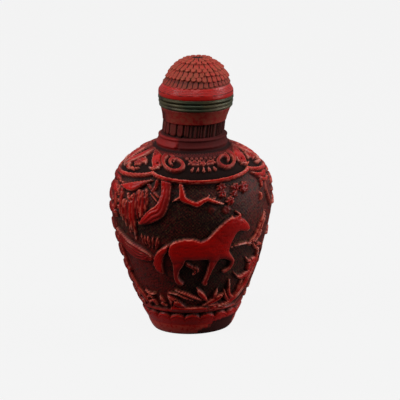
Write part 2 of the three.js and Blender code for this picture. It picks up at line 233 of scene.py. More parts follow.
class Carving:
    """The relief above the ground of the body, on the grid. x runs round the body from a face."""

    def __init__(self):
        self.height = np.zeros(ROUND.shape)
        self.tone = np.ones(ROUND.shape)
        self.rim = np.zeros(ROUND.shape)
        self.face(0)

    def face(self, degrees, flip=1):
        self.x = turned(ROUND - math.radians(degrees)) * RADIUS * flip

    def stroke(self, points, in_arcs=False, steps=5):
        """A stroke through (x, height, half width) points. For each place of the grid: the distance
        to the stroke's edge, below 0 inside, how far along the stroke, and -1 to 1 across it."""
        line = catmull(points, steps)
        if not in_arcs:
            line[:, 1] = arc_at(line[:, 1])
        reach = line[:, 2].max() + 1.5
        low, high = line.min(0) - reach, line.max(0) + reach
        window = (self.x > low[0]) & (self.x < high[0]) & (ARC > low[1]) & (ARC < high[1])
        x, y = self.x[window], ARC[window]
        edge, along, across = np.full(x.shape, FAR), np.zeros(x.shape), np.zeros(x.shape)
        way = 0.0
        for (ax, ay, aw), (bx, by, bw) in zip(line, line[1:]):
            dx, dy = bx - ax, by - ay
            length = max(math.hypot(dx, dy), 1e-6)
            share = np.clip(((x - ax) * dx + (y - ay) * dy) / length**2, 0, 1)
            qx, qy = x - ax - share * dx, y - ay - share * dy
            off = np.hypot(qx, qy)
            half = np.maximum(aw + share * (bw - aw), 0.02)
            nearer = off - half < edge
            edge = np.where(nearer, off - half, edge)
            along = np.where(nearer, way + share * length, along)
            across = np.where(nearer, np.sign(dx * qy - dy * qx) * off / half, across)
            way += length
        fields = []
        for values, rest in ((edge, FAR), (along, 0.0), (across, 0.0)):
            field = np.full(ROUND.shape, rest)
            field[window] = values
            fields.append(field)
        return fields

    def raise_to(self, height):
        self.height = np.maximum(self.height, height)

    def darken(self, amount):
        self.tone = self.tone * (1 - amount)

    def flat(self):
        """1 on the ground, 0 on what stands up."""
        return smooth((0.3 - self.height / RELIEF) / 0.1)

    def lay(self, edge, level, wall=0.3, crown=0.16, moat=0.25):
        """Raises a figure with steep sides, a little lower towards its edge, and clears a gap round it."""
        gap = smooth(1 - edge / moat) * (edge > -0.1)
        self.height = self.height * (1 - 0.85 * gap)
        top = level * RELIEF - crown * np.exp(np.minimum(edge, 0) / 0.45)
        raised = top * smooth(0.5 - edge / wall)
        shows = raised > self.height - 0.1
        # The rim along a figure's edge is coloured later as a worn rim with a painted highlight.
        self.rim = np.where((edge < 0.4) & shows, near(-0.08, 0.3, edge), self.rim)
        self.raise_to(raised)

    def score(self, amount, depth):
        """Cuts lines into what stands up: amount is 1 in a line and 0 beside it."""
        self.height = self.height - depth * np.clip(amount, 0, 1) * np.clip(self.height / RELIEF, 0, 1)

    def draw(self, strokes, level, spacing=0.0, depth=0.22, in_arcs=False, dull=0.0, **how):
        """Lays strokes, with lines along them at a spacing in half widths."""
        for points in strokes:
            edge, along, across = self.stroke(points, in_arcs)
            self.lay(edge, level, **how)
            self.dull(edge, dull)
            if spacing:
                wave = 0.08 * np.sin(1.1 * along)
                self.score(lines(across + wave, spacing, min(0.16, 0.3 * spacing)) * inside(edge), depth)

    def shine(self, points, spacing, low=-1.0, high=1.0, amount=1.4):
        """Painted sheen: pale streaks along a stroke, from one place across it to another."""
        edge, along, across = self.stroke(points)
        streak = lines(across + 0.5 * spacing, spacing, 0.42 * spacing) * (across > low) * (across < high)
        broken = smooth(0.7 + 0.6 * np.sin(0.9 * along))
        self.rim = np.maximum(self.rim, amount * streak * inside(edge, -0.1) * broken)

    def dull(self, edge, amount):
        """Darkens the colour inside a figure."""
        self.darken(amount * inside(edge, -0.2))

    def hole(self, x, arc, radius, depth):
        reach = np.hypot(self.x - x, ARC - arc)
        self.height = self.height * (1 - depth * smooth(1.5 - reach / radius))


def inside(edge, margin=0.0):
    return smooth((-edge - margin) / 0.25)


def soft_union(edges, softness=0.35):
    total = sum(np.exp(-np.clip(edge, -6, 12) / softness) for edge in edges)
    return -softness * np.log(total + 1e-12)


# Horses, as strokes of (x, height, half width)
BARREL = [(-7.3, 27.0, 2.65), (-4.4, 27.0, 3.15), (-1.2, 26.5, 2.85), (1.5, 26.9, 3.0), (4.3, 27.0, 2.9)]
TAIL = [
    (-9.0, 28.4, 0.45), (-10.6, 27.2, 0.75), (-12.5, 25.2, 1.2), (-13.1, 23.0, 1.45),
    (-12.7, 21.0, 1.1), (-11.4, 19.2, 0.1),
]
HIND_LEG = [
    (-7.6, 25.6, 2.35), (-7.2, 23.2, 1.75), (-7.6, 20.8, 0.95), (-7.6, 18.6, 0.7),
    (-6.9, 17.1, 0.75), (-5.9, 16.5, 0.5),
]
FORELEG = [(3.1, 25.4, 2.0), (2.5, 22.8, 1.15), (1.8, 20.4, 0.75), (1.0, 18.0, 0.6), (0.6, 16.4, 0.7)]
RAISED_LEG = [(5.2, 25.4, 1.7), (7.4, 23.8, 0.95), (8.6, 22.3, 0.65), (7.8, 20.5, 0.5), (6.0, 19.5, 0.55)]
FAR_LEG = [(-5.2, 22.6, 0.5), (-3.8, 21.7, 0.5), (-2.6, 20.9, 0.4), (-2.3, 19.9, 0.35), (-2.8, 19.2, 0.3)]
FAR_HOOF = [(-2.4, 21.4, 0.3), (-1.6, 20.6, 0.35), (-1.7, 19.8, 0.2)]

WALKING = {
    "neck": [(4.2, 28.6, 3.5), (6.0, 31.0, 3.0), (7.8, 33.0, 2.45)],
    "head": [(9.2, 33.4, 2.1), (11.1, 32.9, 1.75), (12.7, 31.9, 1.2), (13.3, 31.5, 0.85)],
    "ears": [
        [(9.4, 34.8, 0.8), (10.3, 35.8, 0.5), (9.2, 37.1, 0.08)],
        [(7.6, 35.0, 0.4), (8.2, 36.0, 0.08)],
    ],
    "fourth_leg": RAISED_LEG,
}
GRAZING = {
    "neck": [(4.4, 28.0, 3.0), (7.6, 26.2, 2.2), (10.0, 23.0, 1.5)],
    "head": [(10.3, 22.4, 1.5), (11.0, 20.2, 1.1), (11.3, 18.4, 0.85)],
    "ears": [[(9.2, 23.6, 0.5), (7.9, 22.6, 0.08)]],
    "fourth_leg": [(5.6, 25.2, 1.5), (6.1, 22.4, 0.85), (5.9, 19.6, 0.6), (6.2, 16.8, 0.7)],
}


def horse(carving, neck, head, ears, fourth_leg):
    carving.draw([FAR_LEG, FAR_HOOF], 0.65)
    torso = [carving.stroke(part) for part in (BARREL, neck, head)]
    legs = [carving.stroke(part) for part in (HIND_LEG, FORELEG, fourth_leg)]
    edge = soft_union([part[0] for part in torso + legs])
    for ear in ears:
        edge = np.minimum(edge, carving.stroke(ear)[0])
    carving.draw([TAIL], 0.92, spacing=0.5, depth=0.16, moat=0.5)
    carving.lay(edge, 1.0, crown=0.3, moat=0.55)
    # The legs and the belly are darker than the back: painted shade, as if lit from above.
    carving.dull(edge, 0.3 * smooth((26.5 - HEIGHT) / 4))
    # A fine groove follows the outline, and hair runs along the barrel and down the neck
    carving.score(near(-0.62, 0.2, edge), 0.1)
    sway = 0.3 * np.sin(0.9 * carving.x)
    hair = lines(ARC + sway, 1.15, 0.16) * smooth(0.5 + 0.8 * np.sin(1.7 * carving.x + 2 * HEIGHT))
    carving.score(hair * inside(edge, 0.7), 0.1)
    # Shallow hollows where the limbs and the neck join the barrel
    for part, along, depth in ((legs[0], 2.6, 0.14), (legs[1], 2.4, 0.14), (torso[1], 0.4, 0.08)):
        fold = np.exp(-(((part[1] - along) / 0.5) ** 2)) * inside(part[0], 0.1)
        carving.height = carving.height - depth * fold * inside(edge, 0.3)
    if fourth_leg is RAISED_LEG:
        mane = carving.stroke([(1.6, 30.8, 0.3), (3.6, 32.8, 0.65), (6.6, 34.8, 0.5)])
        carving.score(lines(mane[1] + 0.6 * mane[2], 0.75, 0.2) * inside(mane[0]), 0.2)
        carving.hole(10.6, arc_at(33.7), 0.16, 0.3)
        mouth = carving.stroke([(13.9, 30.9, 0.1), (12.4, 31.2, 0.08)])
        carving.score(smooth(0.7 - mouth[0] / 0.2), 0.25)


# Tree in the middle
TRUNK = [
    (-10.6, 46.9, 1.5), (-10.8, 43.2, 1.4), (-11.7, 40.2, 1.55), (-13.0, 38.0, 1.8),
    (-15.0, 36.6, 1.85), (-17.3, 35.0, 1.3), (-20.0, 33.4, 0.08),
]
BOUGH = [
    (-6.5, 45.4, 0.5), (-6.3, 43.4, 0.75), (-6.1, 41.7, 0.95), (-4.2, 40.6, 0.65), (-2.3, 40.0, 0.75),
    (-0.7, 40.8, 0.6), (0.6, 41.2, 0.6), (1.7, 40.8, 0.55), (3.6, 40.1, 0.4), (5.5, 39.6, 0.06),
]
TWIGS = [
    [(-6.3, 41.8, 0.9), (-7.6, 41.5, 0.4), (-9.1, 40.8, 0.06)],
    [(0.5, 41.2, 0.45), (1.3, 42.6, 0.06)],
    [(1.6, 40.9, 0.45), (3.2, 41.6, 0.06)],
]
TUFTS = [
    (4.9, 44.2, 1.45, 0.7), (5.1, 42.5, 1.3, 0.7), (9.3, 43.7, 1.45, 0.7), (8.9, 42.0, 1.2, 0.65),
    (12.4, 43.4, 1.75, 0.75), (7.4, 40.2, 1.35, 0.75), (1.9, 38.2, 1.2, 0.4), (6.2, 37.8, 1.4, 0.45),
]


def tuft(carving, x, height, radius, level):
    """A round pine tuft with needles that fan out from its middle."""
    dx, dy = carving.x - x, ARC - arc_at(height)
    reach, turn = np.hypot(dx, dy), np.arctan2(dy, dx)
    edge = reach - radius * (0.92 + 0.14 * np.cos(7 * turn + height))
    carving.lay(edge, level, wall=0.4, crown=0.3)
    carving.score(lines(turn, TURN / 14, 0.1) * (reach > 0.25 * radius) * (edge < 0), 0.7)
    carving.hole(x, arc_at(height), 0.22 * radius, 0.4)


def tree(carving, tufts=TUFTS):
    for x, height, radius, level in tufts:
        tuft(carving, x, height, radius, level)
    carving.draw(TWIGS, 0.85)
    carving.draw([BOUGH], 1.0, spacing=2, depth=0.15)
    carving.draw([TRUNK], 1.0, spacing=0.62, depth=0.3, crown=0.3, moat=0.4)
    # Painted shade: one side of the trunk is darkened.
    edge, _, across = carving.stroke(TRUNK)
    carving.dull(edge, 0.35 * smooth(0.6 + across))


# Left of the tree: a drooping canopy with hanging fronds, stems, a long leaf and grass
CANOPY = [
    (-27.4, 43.2, 0.25), (-24.4, 43.3, 0.95), (-21.9, 43.7, 1.2), (-19.0, 44.7, 0.85), (-15.0, 46.2, 0.1),
]
FRONDS = [
    [(-25.8, 39.6, 0.35), (-26.2, 36.6, 0.6), (-26.4, 33.6, 0.08)],
    [(-24.7, 39.4, 0.35), (-25.1, 35.6, 0.65), (-24.9, 31.9, 0.08)],
    [(-23.7, 39.4, 0.4), (-23.9, 35.0, 0.62), (-23.3, 30.2, 0.08)],
    [(-22.5, 41.0, 0.4), (-22.8, 36.0, 0.6), (-22.1, 30.6, 0.08)],
    [(-21.4, 41.8, 0.45), (-21.7, 35.6, 0.65), (-20.9, 28.6, 0.08)],
    [(-20.3, 42.6, 0.4), (-20.4, 37.4, 0.6), (-19.8, 33.6, 0.08)],
    [(-19.3, 42.8, 0.45), (-19.4, 38.8, 0.45), (-19.1, 35.4, 0.06)],
    [(-18.2, 42.9, 0.4), (-18.3, 38.6, 0.6), (-18.8, 34.4, 0.08)],
    [(-17.0, 43.4, 0.35), (-17.1, 40.4, 0.5), (-17.6, 36.8, 0.08)],
]
CROSSED = [
    [(-16.6, 45.2, 0.5), (-14.6, 43.0, 0.45), (-12.6, 41.2, 0.2)],
    [(-13.4, 46.2, 0.5), (-13.9, 44.6, 0.6), (-15.2, 43.0, 0.3)],
    [(-15.6, 42.6, 0.3), (-13.6, 40.4, 0.2)],
]
CURL = [(-24.0, 41.6, 0.3), (-23.8, 40.6, 0.4), (-22.9, 40.2, 0.45), (-22.2, 41.2, 0.35)]
LEFT_STEMS = [
    [(-27.0, 43.8, 0.5), (-27.2, 40.6, 0.6), (-28.0, 37.0, 0.65), (-27.4, 34.6, 0.2)],
    [(-31.6, 45.4, 0.5), (-31.2, 40.6, 0.6), (-31.8, 36.0, 0.7), (-31.0, 33.8, 0.3)],
]
LONG_LEAF = [
    (-31.6, 30.2, 0.2), (-27.4, 27.6, 1.5), (-23.4, 25.7, 2.0), (-18.6, 24.5, 1.8), (-14.4, 23.5, 0.5),
]
GRASS = [
    [(-17.9, 27.2, 0.1), (-18.3, 28.6, 0.4), (-19.2, 30.4, 0.15)],
    [(-17.2, 27.2, 0.1), (-17.4, 28.8, 0.4), (-17.8, 30.2, 0.15)],
    [(-16.0, 26.8, 0.1), (-16.3, 28.2, 0.45), (-16.8, 30.0, 0.2)],
    [(-15.2, 26.8, 0.1), (-15.0, 28.2, 0.45), (-15.2, 29.8, 0.2)],
    [(-14.2, 26.4, 0.1), (-13.7, 28.0, 0.6), (-13.6, 29.8, 0.25)],
]
LEFT_RIDGE = [
    (-29.6, 25.4, 0.5), (-27.4, 19.4, 0.7), (-24.8, 16.0, 0.7), (-21.8, 13.2, 0.7), (-18.6, 10.8, 0.7),
    (-16.4, 8.8, 0.6),
]
BEADS_AT = -29.5
BEAD_HEIGHTS = (44.2, 42.4, 40.6, 38.8, 37.0)


def willow(carving):
    carving.draw(CROSSED, 0.65)
    carving.draw(LEFT_STEMS, 0.85, spacing=2, depth=0.15)
    for number, frond in enumerate(FRONDS):
        carving.draw([frond], 0.95 - 0.16 * (number % 3), spacing=2, depth=0.2, wall=0.25)
    carving.draw([CURL], 0.85)
    carving.draw([CANOPY], 1.0, spacing=1.1, depth=0.12, moat=0.4)
    for height in BEAD_HEIGHTS:
        bead = np.hypot(carving.x - BEADS_AT, ARC - arc_at(height)) - 0.62
        carving.lay(bead, 0.75)
        carving.hole(BEADS_AT, arc_at(height), 0.2, 0.8)


def left_bank(carving):
    carving.draw(GRASS, 0.6)
    carving.draw([LONG_LEAF], 0.95, spacing=0.52, depth=0.55, moat=0.35, dull=0.3)
    # Painted sheen along the long leaf
    carving.shine(LONG_LEAF, 0.52, 0.1, 0.9)
    carving.draw([LEFT_RIDGE], 0.9)


# Right of the horse: stems, reeds, and a ragged cliff that sweeps down to the rocks along the bottom
RIGHT_STEMS = [
    [(22.0, 45.0, 0.35), (22.9, 41.4, 0.35), (24.6, 38.0, 0.4), (27.0, 35.6, 0.35)],
    [(19.9, 44.0, 0.35), (20.3, 42.9, 0.6), (20.0, 41.8, 0.15)],
    [(19.3, 40.7, 0.2), (19.6, 39.6, 0.5), (19.2, 38.5, 0.15)],
]
RIGHT_CANOPY = [
    [(15.8, 46.8, 0.1), (18.6, 45.6, 0.6), (21.6, 44.9, 0.9), (24.6, 45.7, 0.7), (27.0, 46.6, 0.1)],
    [(19.0, 45.0, 0.1), (21.4, 43.9, 0.5), (24.0, 43.4, 0.5), (26.4, 44.2, 0.1)],
]
REEDS = [
    [(21.9, 35.4, 0.06), (20.2, 32.9, 0.35), (18.4, 30.2, 0.38), (16.8, 28.2, 0.3), (14.8, 26.8, 0.15)],
    [(22.6, 34.0, 0.06), (20.9, 31.4, 0.35), (19.0, 29.0, 0.35), (16.8, 27.2, 0.3), (14.8, 26.4, 0.15)],
    [(21.4, 29.8, 0.06), (19.4, 28.0, 0.3), (17.2, 26.6, 0.3), (14.9, 26.0, 0.15)],
    [(15.2, 26.6, 0.3), (11.5, 27.0, 0.26), (7.8, 26.5, 0.06)],
    [(16.4, 26.2, 0.3), (17.8, 24.8, 0.4), (19.4, 23.8, 0.3), (20.6, 22.4, 0.3)],
]
FAR_STRIP = [
    (24.6, 24.0, 0.3), (23.4, 19.6, 0.9), (21.4, 15.6, 1.0), (18.6, 12.0, 0.9), (15.4, 9.2, 0.7),
    (12.2, 7.6, 0.4),
]
THIN_STRIP = [(13.8, 16.0, 0.1), (12.6, 14.2, 0.4), (11.8, 12.4, 0.45), (10.6, 10.9, 0.3)]
MAIN_STRIP = [
    (19.8, 24.4, 0.1), (19.8, 21.4, 0.7), (18.6, 18.4, 1.2), (16.4, 16.0, 1.25), (14.9, 13.8, 1.15),
    (13.0, 12.0, 1.0), (11.1, 10.5, 0.9), (8.9, 9.4, 0.8), (6.1, 8.6, 0.65), (2.4, 8.2, 0.4),
]
FLAMES = [
    [(18.2, 20.8, 0.8), (16.4, 20.4, 1.0), (15.6, 18.8, 0.8), (16.4, 17.0, 0.7)],
    [(16.2, 17.2, 0.9), (14.0, 16.7, 0.9), (12.2, 16.5, 0.6), (10.8, 17.2, 0.3), (9.8, 18.4, 0.06)],
    [(10.2, 10.2, 0.7), (8.8, 11.4, 0.6), (8.2, 13.4, 0.5), (8.4, 16.6, 0.06)],
    [(8.6, 9.6, 0.6), (7.4, 11.3, 0.5), (6.8, 13.7, 0.06)],
    [(16.0, 20.8, 0.5), (14.8, 21.2, 0.35), (14.1, 22.4, 0.06)],
    [(3.6, 11.6, 0.3), (4.2, 12.8, 0.35), (4.6, 14.0, 0.06)],
    [(20.8, 25.0, 0.5), (19.2, 25.4, 0.4), (18.0, 24.6, 0.1)],
]
SWEEPS = [
    [(-7.8, 14.4, 0.1), (-5.0, 13.3, 0.42), (-1.9, 11.9, 0.45), (1.2, 10.7, 0.1)],
    [(-10.0, 13.1, 0.12), (-7.2, 13.1, 0.28), (-4.9, 12.1, 0.38), (-2.4, 11.1, 0.1)],
    [(-1.5, 14.9, 0.06), (-0.4, 13.2, 0.7), (0.9, 11.6, 0.6), (1.8, 10.5, 0.1)],
    [(2.2, 9.1, 0.3), (4.8, 8.9, 0.45), (7.2, 8.4, 0.2)],
]
LOW_LEAF = [(0.6, 9.4, 0.3), (3.4, 10.6, 0.8), (5.4, 11.6, 0.65), (6.9, 12.6, 0.06)]
ROCKS = [
    [(-9.9, 12.6, 0.15), (-8.6, 11.4, 0.9), (-7.4, 10.0, 1.5), (-7.0, 8.9, 1.4)],
    [(-7.2, 10.2, 0.9), (-5.7, 9.4, 0.7), (-4.6, 8.7, 0.4)],
    [(-8.2, 8.3, 0.55), (-3.0, 8.25, 0.6), (1.6, 8.2, 0.55), (7.4, 7.9, 0.4)],
    [(-12.3, 11.9, 0.1), (-11.6, 11.0, 0.5), (-10.6, 10.3, 0.2)],
    [(-12.2, 9.6, 0.1), (-11.2, 9.7, 0.45), (-10.0, 9.0, 0.25)],
    [(-16.4, 9.2, 0.3), (-14.6, 10.2, 0.6), (-13.2, 9.0, 0.4)],
    [(-18.0, 13.2, 0.1), (-15.8, 12.2, 0.45), (-13.4, 12.6, 0.06)],
    [(-17.2, 10.8, 0.3), (-16.2, 11.4, 0.45), (-14.4, 11.0, 0.1)],
]


def right_bank(carving):
    carving.draw(RIGHT_STEMS[:1], 0.8, dull=0.35)
    carving.draw(RIGHT_STEMS[1:], 0.8)
    carving.draw(RIGHT_CANOPY, 0.95, spacing=0.9, depth=0.2)
    carving.draw(REEDS, 0.85, wall=0.22)
    carving.draw(FLAMES, 0.95, spacing=2, depth=0.15)
    for strip, level, dull in ((FAR_STRIP, 0.75, 0.6), (THIN_STRIP, 0.87, 0), (MAIN_STRIP, 0.99, 0)):
        carving.draw([strip], level, spacing=0.7, depth=0.3, wall=0.25, dull=dull)
    # Painted sheen along the main strip
    carving.shine(MAIN_STRIP, 0.7, amount=2.1)


def rocks(carving):
    carving.draw(ROCKS, 0.92, spacing=0.7, depth=0.12)
    # Painted sheen along the first rock
    carving.shine(ROCKS[0], 0.8)
    carving.draw(SWEEPS, 0.9, wall=0.22)
    carving.draw([LOW_LEAF], 0.95, spacing=2, depth=0.9, wall=0.22)
    slit = carving.stroke([(-8.0, 10.9, 0.08), (-8.2, 9.2, 0.14)])[0]
    carving.score(smooth(0.7 - slit / 0.25), 0.9)


DOT_SPACING = 1.02
POOL_X = -18
POOL_HEIGHT = 17


def ground(carving):
    """The cut ground: small dots where it is seen, a broad uneven ripple behind, and water on the left."""
    x, y = carving.x, ARC
    fine = np.sin(TURN * x / DOT_SPACING + 0.4 * np.sin(y)) * np.sin(TURN * y / DOT_SPACING)
    waves = (1.9 * x + y, 2.3 * y - 1.1 * x, 3.1 * x - 0.7 * y + 2, 1.3 * y + 2.7 * x, 0.6 * x + 3.7 * y)
    dots = np.where((ROUND > SEEN_FROM) & (ROUND < SEEN_TO), fine, 0.6 * ripple(*waves))
    uneven = 0.5 + 0.5 * ripple(0.8 * x + 0.5 * y, 1.7 * y - 0.6 * x + 1)
    carving.raise_to(RELIEF * (0.1 + 0.1 * uneven) * smooth(0.5 + 1.2 * dots))
    place = x - POOL_X
    pool = smooth((8 - np.abs(place)) / 3) * smooth((6.5 - np.abs(HEIGHT - POOL_HEIGHT)) / 2)
    water = lines(y + 0.5 * np.sin(0.9 * place + 0.4 * y), 0.9, 0.28)
    carving.raise_to(RELIEF * 0.22 * pool * water)


def redness(carving):
    """How red the ground is: darkest round the horse, redder to the right, low on the left, at the
    sides and along the bottom."""
    x, z = carving.x, HEIGHT
    right = smooth((x - 9) / 8) * smooth((z - 24) / 6)
    low_left = smooth((-6 - x) / 6) * smooth((31 - z) / 6)
    side = smooth((np.abs(x) - 20) / 8)
    bottom = smooth((14 - z) / 5)
    return np.clip(0.35 + 0.45 * right + 1.3 * low_left + 0.15 * side + 0.5 * bottom, 0, 1.4)


# Each narrow side has a tall pine: layered pads of needles on a stem, and rocks at its root
PADS = [
    (0.5, 45.0, 5.0), (-1.8, 41.8, 5.0), (1.6, 38.9, 5.4), (-1.2, 35.6, 4.8), (1.8, 30.2, 4.4),
    (-1.6, 26.8, 4.6), (1.4, 22.6, 4.2), (-1.2, 18.6, 3.8), (1.2, 14.8, 3.6), (-0.8, 11.4, 4.4),
]
SIDE_STEM = [(0.4, 46.5, 3.4), (0, 30, 3.6), (-0.4, 8.4, 3.0)]
SIDE_ROCKS = [(-4.6, 8.6, 0.8), (0, 9.4, 1.0), (4.6, 8.6, 0.8)]


def side_tree(carving, filling):
    carving.draw([SIDE_STEM], filling, spacing=0.3, dull=0.4)
    for x, height, reach in PADS:
        points = [
            (x - reach, height - 0.7, 0.3), (x - 0.5 * reach, height, 1.1), (x, height + 0.3, 1.5),
            (x + 0.5 * reach, height, 1.1), (x + reach, height - 0.7, 0.3),
        ]
        edge, along, _ = carving.stroke(points)
        carving.lay(edge + 0.15 * np.cos(along * TURN / 1.9), 1.0, crown=0.25, moat=0.12)
        fan = np.arctan2(ARC - arc_at(height - 2.6), carving.x - x)
        carving.score(lines(fan, 0.16, 0.05) * inside(edge, 0.2), 0.3)
    carving.draw([SIDE_ROCKS], 0.95, spacing=0.7)


# Shoulder: four lobes under a raised border, with scrolls, flowers and leaves in them
BORDER_DROP = 12.7
CUSP_DROP = 10.0
BORDER_HALF = 0.62
NICK_ROW = 0.8
LOBE_LEAF = [(0.8, 5.7, 0.25), (2.2, 5.3, 0.75), (4.0, 5.6, 0.1)]
FLOWER_BANDS = [
    [(2.2, 1.6, 0.6), (2.5, 5.2, 1.15), (1.4, 8.2, 0.9), (0.5, 10.8, 0.2)],
    [(2.4, 9.2, 0.3), (3.6, 10.5, 0.6), (5.4, 10.2, 0.2)],
    [(8.0, 9.4, 0.2), (6.6, 10.3, 0.45), (5.0, 9.7, 0.1)],
]
CUSP_LEAF = [(-5.0, 1.9, 0.4), (-3.2, 3.4, 1.3), (-1.6, 5.2, 1.75), (-0.6, 7.0, 1.3), (-0.9, 8.2, 0.5)]
CUSP_TIP = [(0.6, 8.0, 0.3), (-0.9, 8.6, 0.5), (-2.4, 8.5, 0.1)]
CUSP_SIDES = [
    [(-4.7, 7.4, 0.15), (-5.5, 6.4, 0.6), (-6.8, 5.4, 0.2)],
    [(3.2, 4.6, 0.3), (2.2, 3.0, 0.42), (0.6, 2.2, 0.45), (-0.9, 2.9, 0.3)],
]
EYELETS = [(-3.7, 3.5), (-0.6, 6.5)]


def slope(side, points):
    """A stroke's points on the shoulder, from (across, down from the neck, half width)."""
    return [(side * across, LENGTH - drop, half) for across, drop, half in points]


def border_edge():
    """Signed distance to the lobed border, and how far above its middle a place is."""
    along = ((ROUND / TURN * LOBES + 0.5) % 1) * 2 - 1
    dip = np.cos(along * math.pi / 2) ** 0.6
    above = ARC - LENGTH + CUSP_DROP + (BORDER_DROP - CUSP_DROP) * dip
    return np.abs(above) - BORDER_HALF, above


def scroll(carving, side, x, drop):
    """A scroll that runs down its outer side from the neck, round, and curls in to a dark eye."""
    points = []
    for share in np.linspace(0, 1, 20):
        bearing = math.radians(55 - 440 * share)
        reach = 3.5 * (1 - 0.72 * share**1.3)
        points.append((x + reach * math.cos(bearing), drop - reach * math.sin(bearing), 0.68 - 0.25 * share))
    edge, _, across = carving.stroke(slope(side, points), in_arcs=True, steps=2)
    carving.lay(edge, 1.0, moat=0.4)
    carving.dull(edge, 0.35)
    carving.score(lines(across - 0.2, 2, 0.2) * inside(edge), 0.12)


def flower(carving, x, drop, radius, petals, level=0.85):
    dx, dy = carving.x - x, ARC - (LENGTH - drop)
    reach, turn = np.hypot(dx, dy), np.arctan2(dx, -dy)
    lobe = np.abs(np.cos(petals * turn / 2))
    edge = reach - radius * (0.68 + 0.32 * lobe)
    carving.lay(edge, level, crown=0.25)
    carving.score(smooth(1 - lobe * 3) * (edge < 0) * (reach > 0.3 * radius), 0.6)
    carving.hole(x, LENGTH - drop, 0.2 * radius, 0.6)


def scroll_lobe(carving, degrees):
    """Two scrolls with a flower between long leaves, beads over it and a fringe of petals under it."""
    carving.face(degrees)
    for row, drop in enumerate((3.0, 4.1)):
        for x in np.arange(-3.9, 4.0, 1.3) + 0.6 * row:
            bead = np.hypot(carving.x - x, ARC - LENGTH + drop)
            carving.lay(bead - 0.48, 0.65)
            carving.hole(x, LENGTH - drop, 0.14, 0.5)
    for side in (-1, 1):
        edge, _, across = carving.stroke(slope(side, LOBE_LEAF), in_arcs=True)
        carving.lay(edge, 0.85, wall=0.25)
        carving.score(smooth(1.6 - np.abs(across) * 3) * inside(edge, 0.25), 0.7)
    scroll(carving, -1, 7.8, 5.6)
    scroll(carving, 1, 6.9, 5.1)
    for x in (-2.8, -1.4, 0, 1.4, 2.8):
        petal = slope(1, [(x, 7.1, 0.2), (1.2 * x, 8.5 - 0.12 * abs(x), 0.4)])
        carving.draw([petal], 0.75, in_arcs=True, wall=0.25)
    flower(carving, 0, 5.6, 0.95, 5, 0.9)
    # Painted shade: the middle of the lobe, up to 5 mm either side and 9 mm down from the neck, is darkened.
    carving.dull(np.maximum(np.abs(carving.x) - 5, LENGTH - ARC - 9), 0.3)


def flower_lobe(carving, degrees):
    """A large leaf on each side with a many-petalled flower beside it."""
    carving.face(degrees)
    for side in (-1, 1):
        bands = [slope(side, band) for band in FLOWER_BANDS]
        carving.draw(bands, 0.95, spacing=2, depth=0.25, in_arcs=True)
        flower(carving, side * 5.4, 7.4, 1.8, 7)


def cusp_leaves(carving, degrees, side):
    """Leaves with eyelets between a scroll lobe, on the given side, and a flower lobe."""
    carving.face(degrees)
    carving.draw([slope(side, leaf) for leaf in CUSP_SIDES], 0.85, in_arcs=True, moat=0.35)
    carving.draw([slope(side, CUSP_LEAF)], 0.95, in_arcs=True, moat=0.5)
    carving.draw([slope(side, CUSP_TIP)], 1.0, in_arcs=True)
    for x, drop in EYELETS:
        ring = np.hypot(carving.x - side * x, ARC - LENGTH + drop)
        carving.score(near(1.0, 0.25, ring), 0.3)
        carving.hole(side * x, LENGTH - drop, 0.42, 0.95)


def neck_foot(carving):
    """A low band close under the neck, with rows of small nicks, and painted shade darkest under the ring.
    """
    drop = LENGTH - ARC
    row, down = np.divmod(drop / NICK_ROW, 1)
    nick = np.abs(np.sin(44 * ROUND + row * math.pi / 2)) * (0.4 + 0.6 * down)
    carving.raise_to(RELIEF * (0.35 + 0.35 * nick * (drop > 0.9)) * smooth((3.0 - drop) / 0.8))
    # Painted shade under the neck ring, and a painted shadow right under it
    carving.darken(0.55 * smooth((4.2 - drop) / 2.5))
    carving.darken(0.7 * smooth((1.5 - drop) / 0.8))


def crests(carving):
    """The row of crests above the foot, a groove, and the ledge that the scene stands on."""
    top = float(arc_at(FOOT_HEIGHT + CREST_BAND))
    hump = np.abs(np.sin(math.pi * ROUND / TURN * CREST_COUNT)) ** 0.45
    edge = ARC - top + 1.45 * (1 - hump)
    carving.raise_to(RELIEF * smooth(0.5 - edge / 0.3))
    carving.score(near(-0.75, 0.2, edge), 0.25)
    ledge = smooth((ARC - top - 0.55) / 0.3) * smooth((top + 1.75 - ARC) / 0.4)
    carving.raise_to((RELIEF - 0.35) * ledge)


def carve():
    """The whole carving. What is drawn later lies over what is drawn earlier."""
    carving = Carving()
    ground(carving)
    carving.face(180, -1)
    rocks(carving)
    carving.draw(FLAMES[1:4] + [THIN_STRIP, MAIN_STRIP], 0.95)
    tree(carving, TUFTS[:2])
    horse(carving, **GRAZING)
    carving.face(0)
    left_bank(carving)
    willow(carving)
    rocks(carving)
    tree(carving)
    horse(carving, **WALKING)
    for degrees, flip, filling in ((94, 1, 0.8), (-92, -1, 0.6)):
        carving.face(degrees, flip)
        side_tree(carving, filling)
    carving.face(0)
    right_bank(carving)
    # The shoulder starts afresh above the border.
    edge, above = border_edge()
    carving.height = carving.height * (1 - smooth(above / 0.3))
    for degrees in (0, 180):
        flower_lobe(carving, degrees + 90)
        cusp_leaves(carving, degrees + 45, -1)
        cusp_leaves(carving, degrees - 45, 1)
        scroll_lobe(carving, degrees)
    neck_foot(carving)
    carving.lay(edge, 1.0, crown=0.2, moat=0.5)
    crests(carving)
    carving.face(0)
    carving.height = np.clip(carving.height, 0, RELIEF)
    # Painted shade: the ground is darkened close under and between the figures, and inside the shoulder's
    # lobes.
    shade_near_figures = smooth((blur(carving.height, 3) / RELIEF - 0.15) / 0.4)
    shade_in_lobes = smooth(above / 0.3) * smooth((LENGTH - ARC - 3) / 0.6)
    carving.darken(carving.flat() * np.maximum(0.6 * shade_near_figures, 0.9 * shade_in_lobes))
    return carving


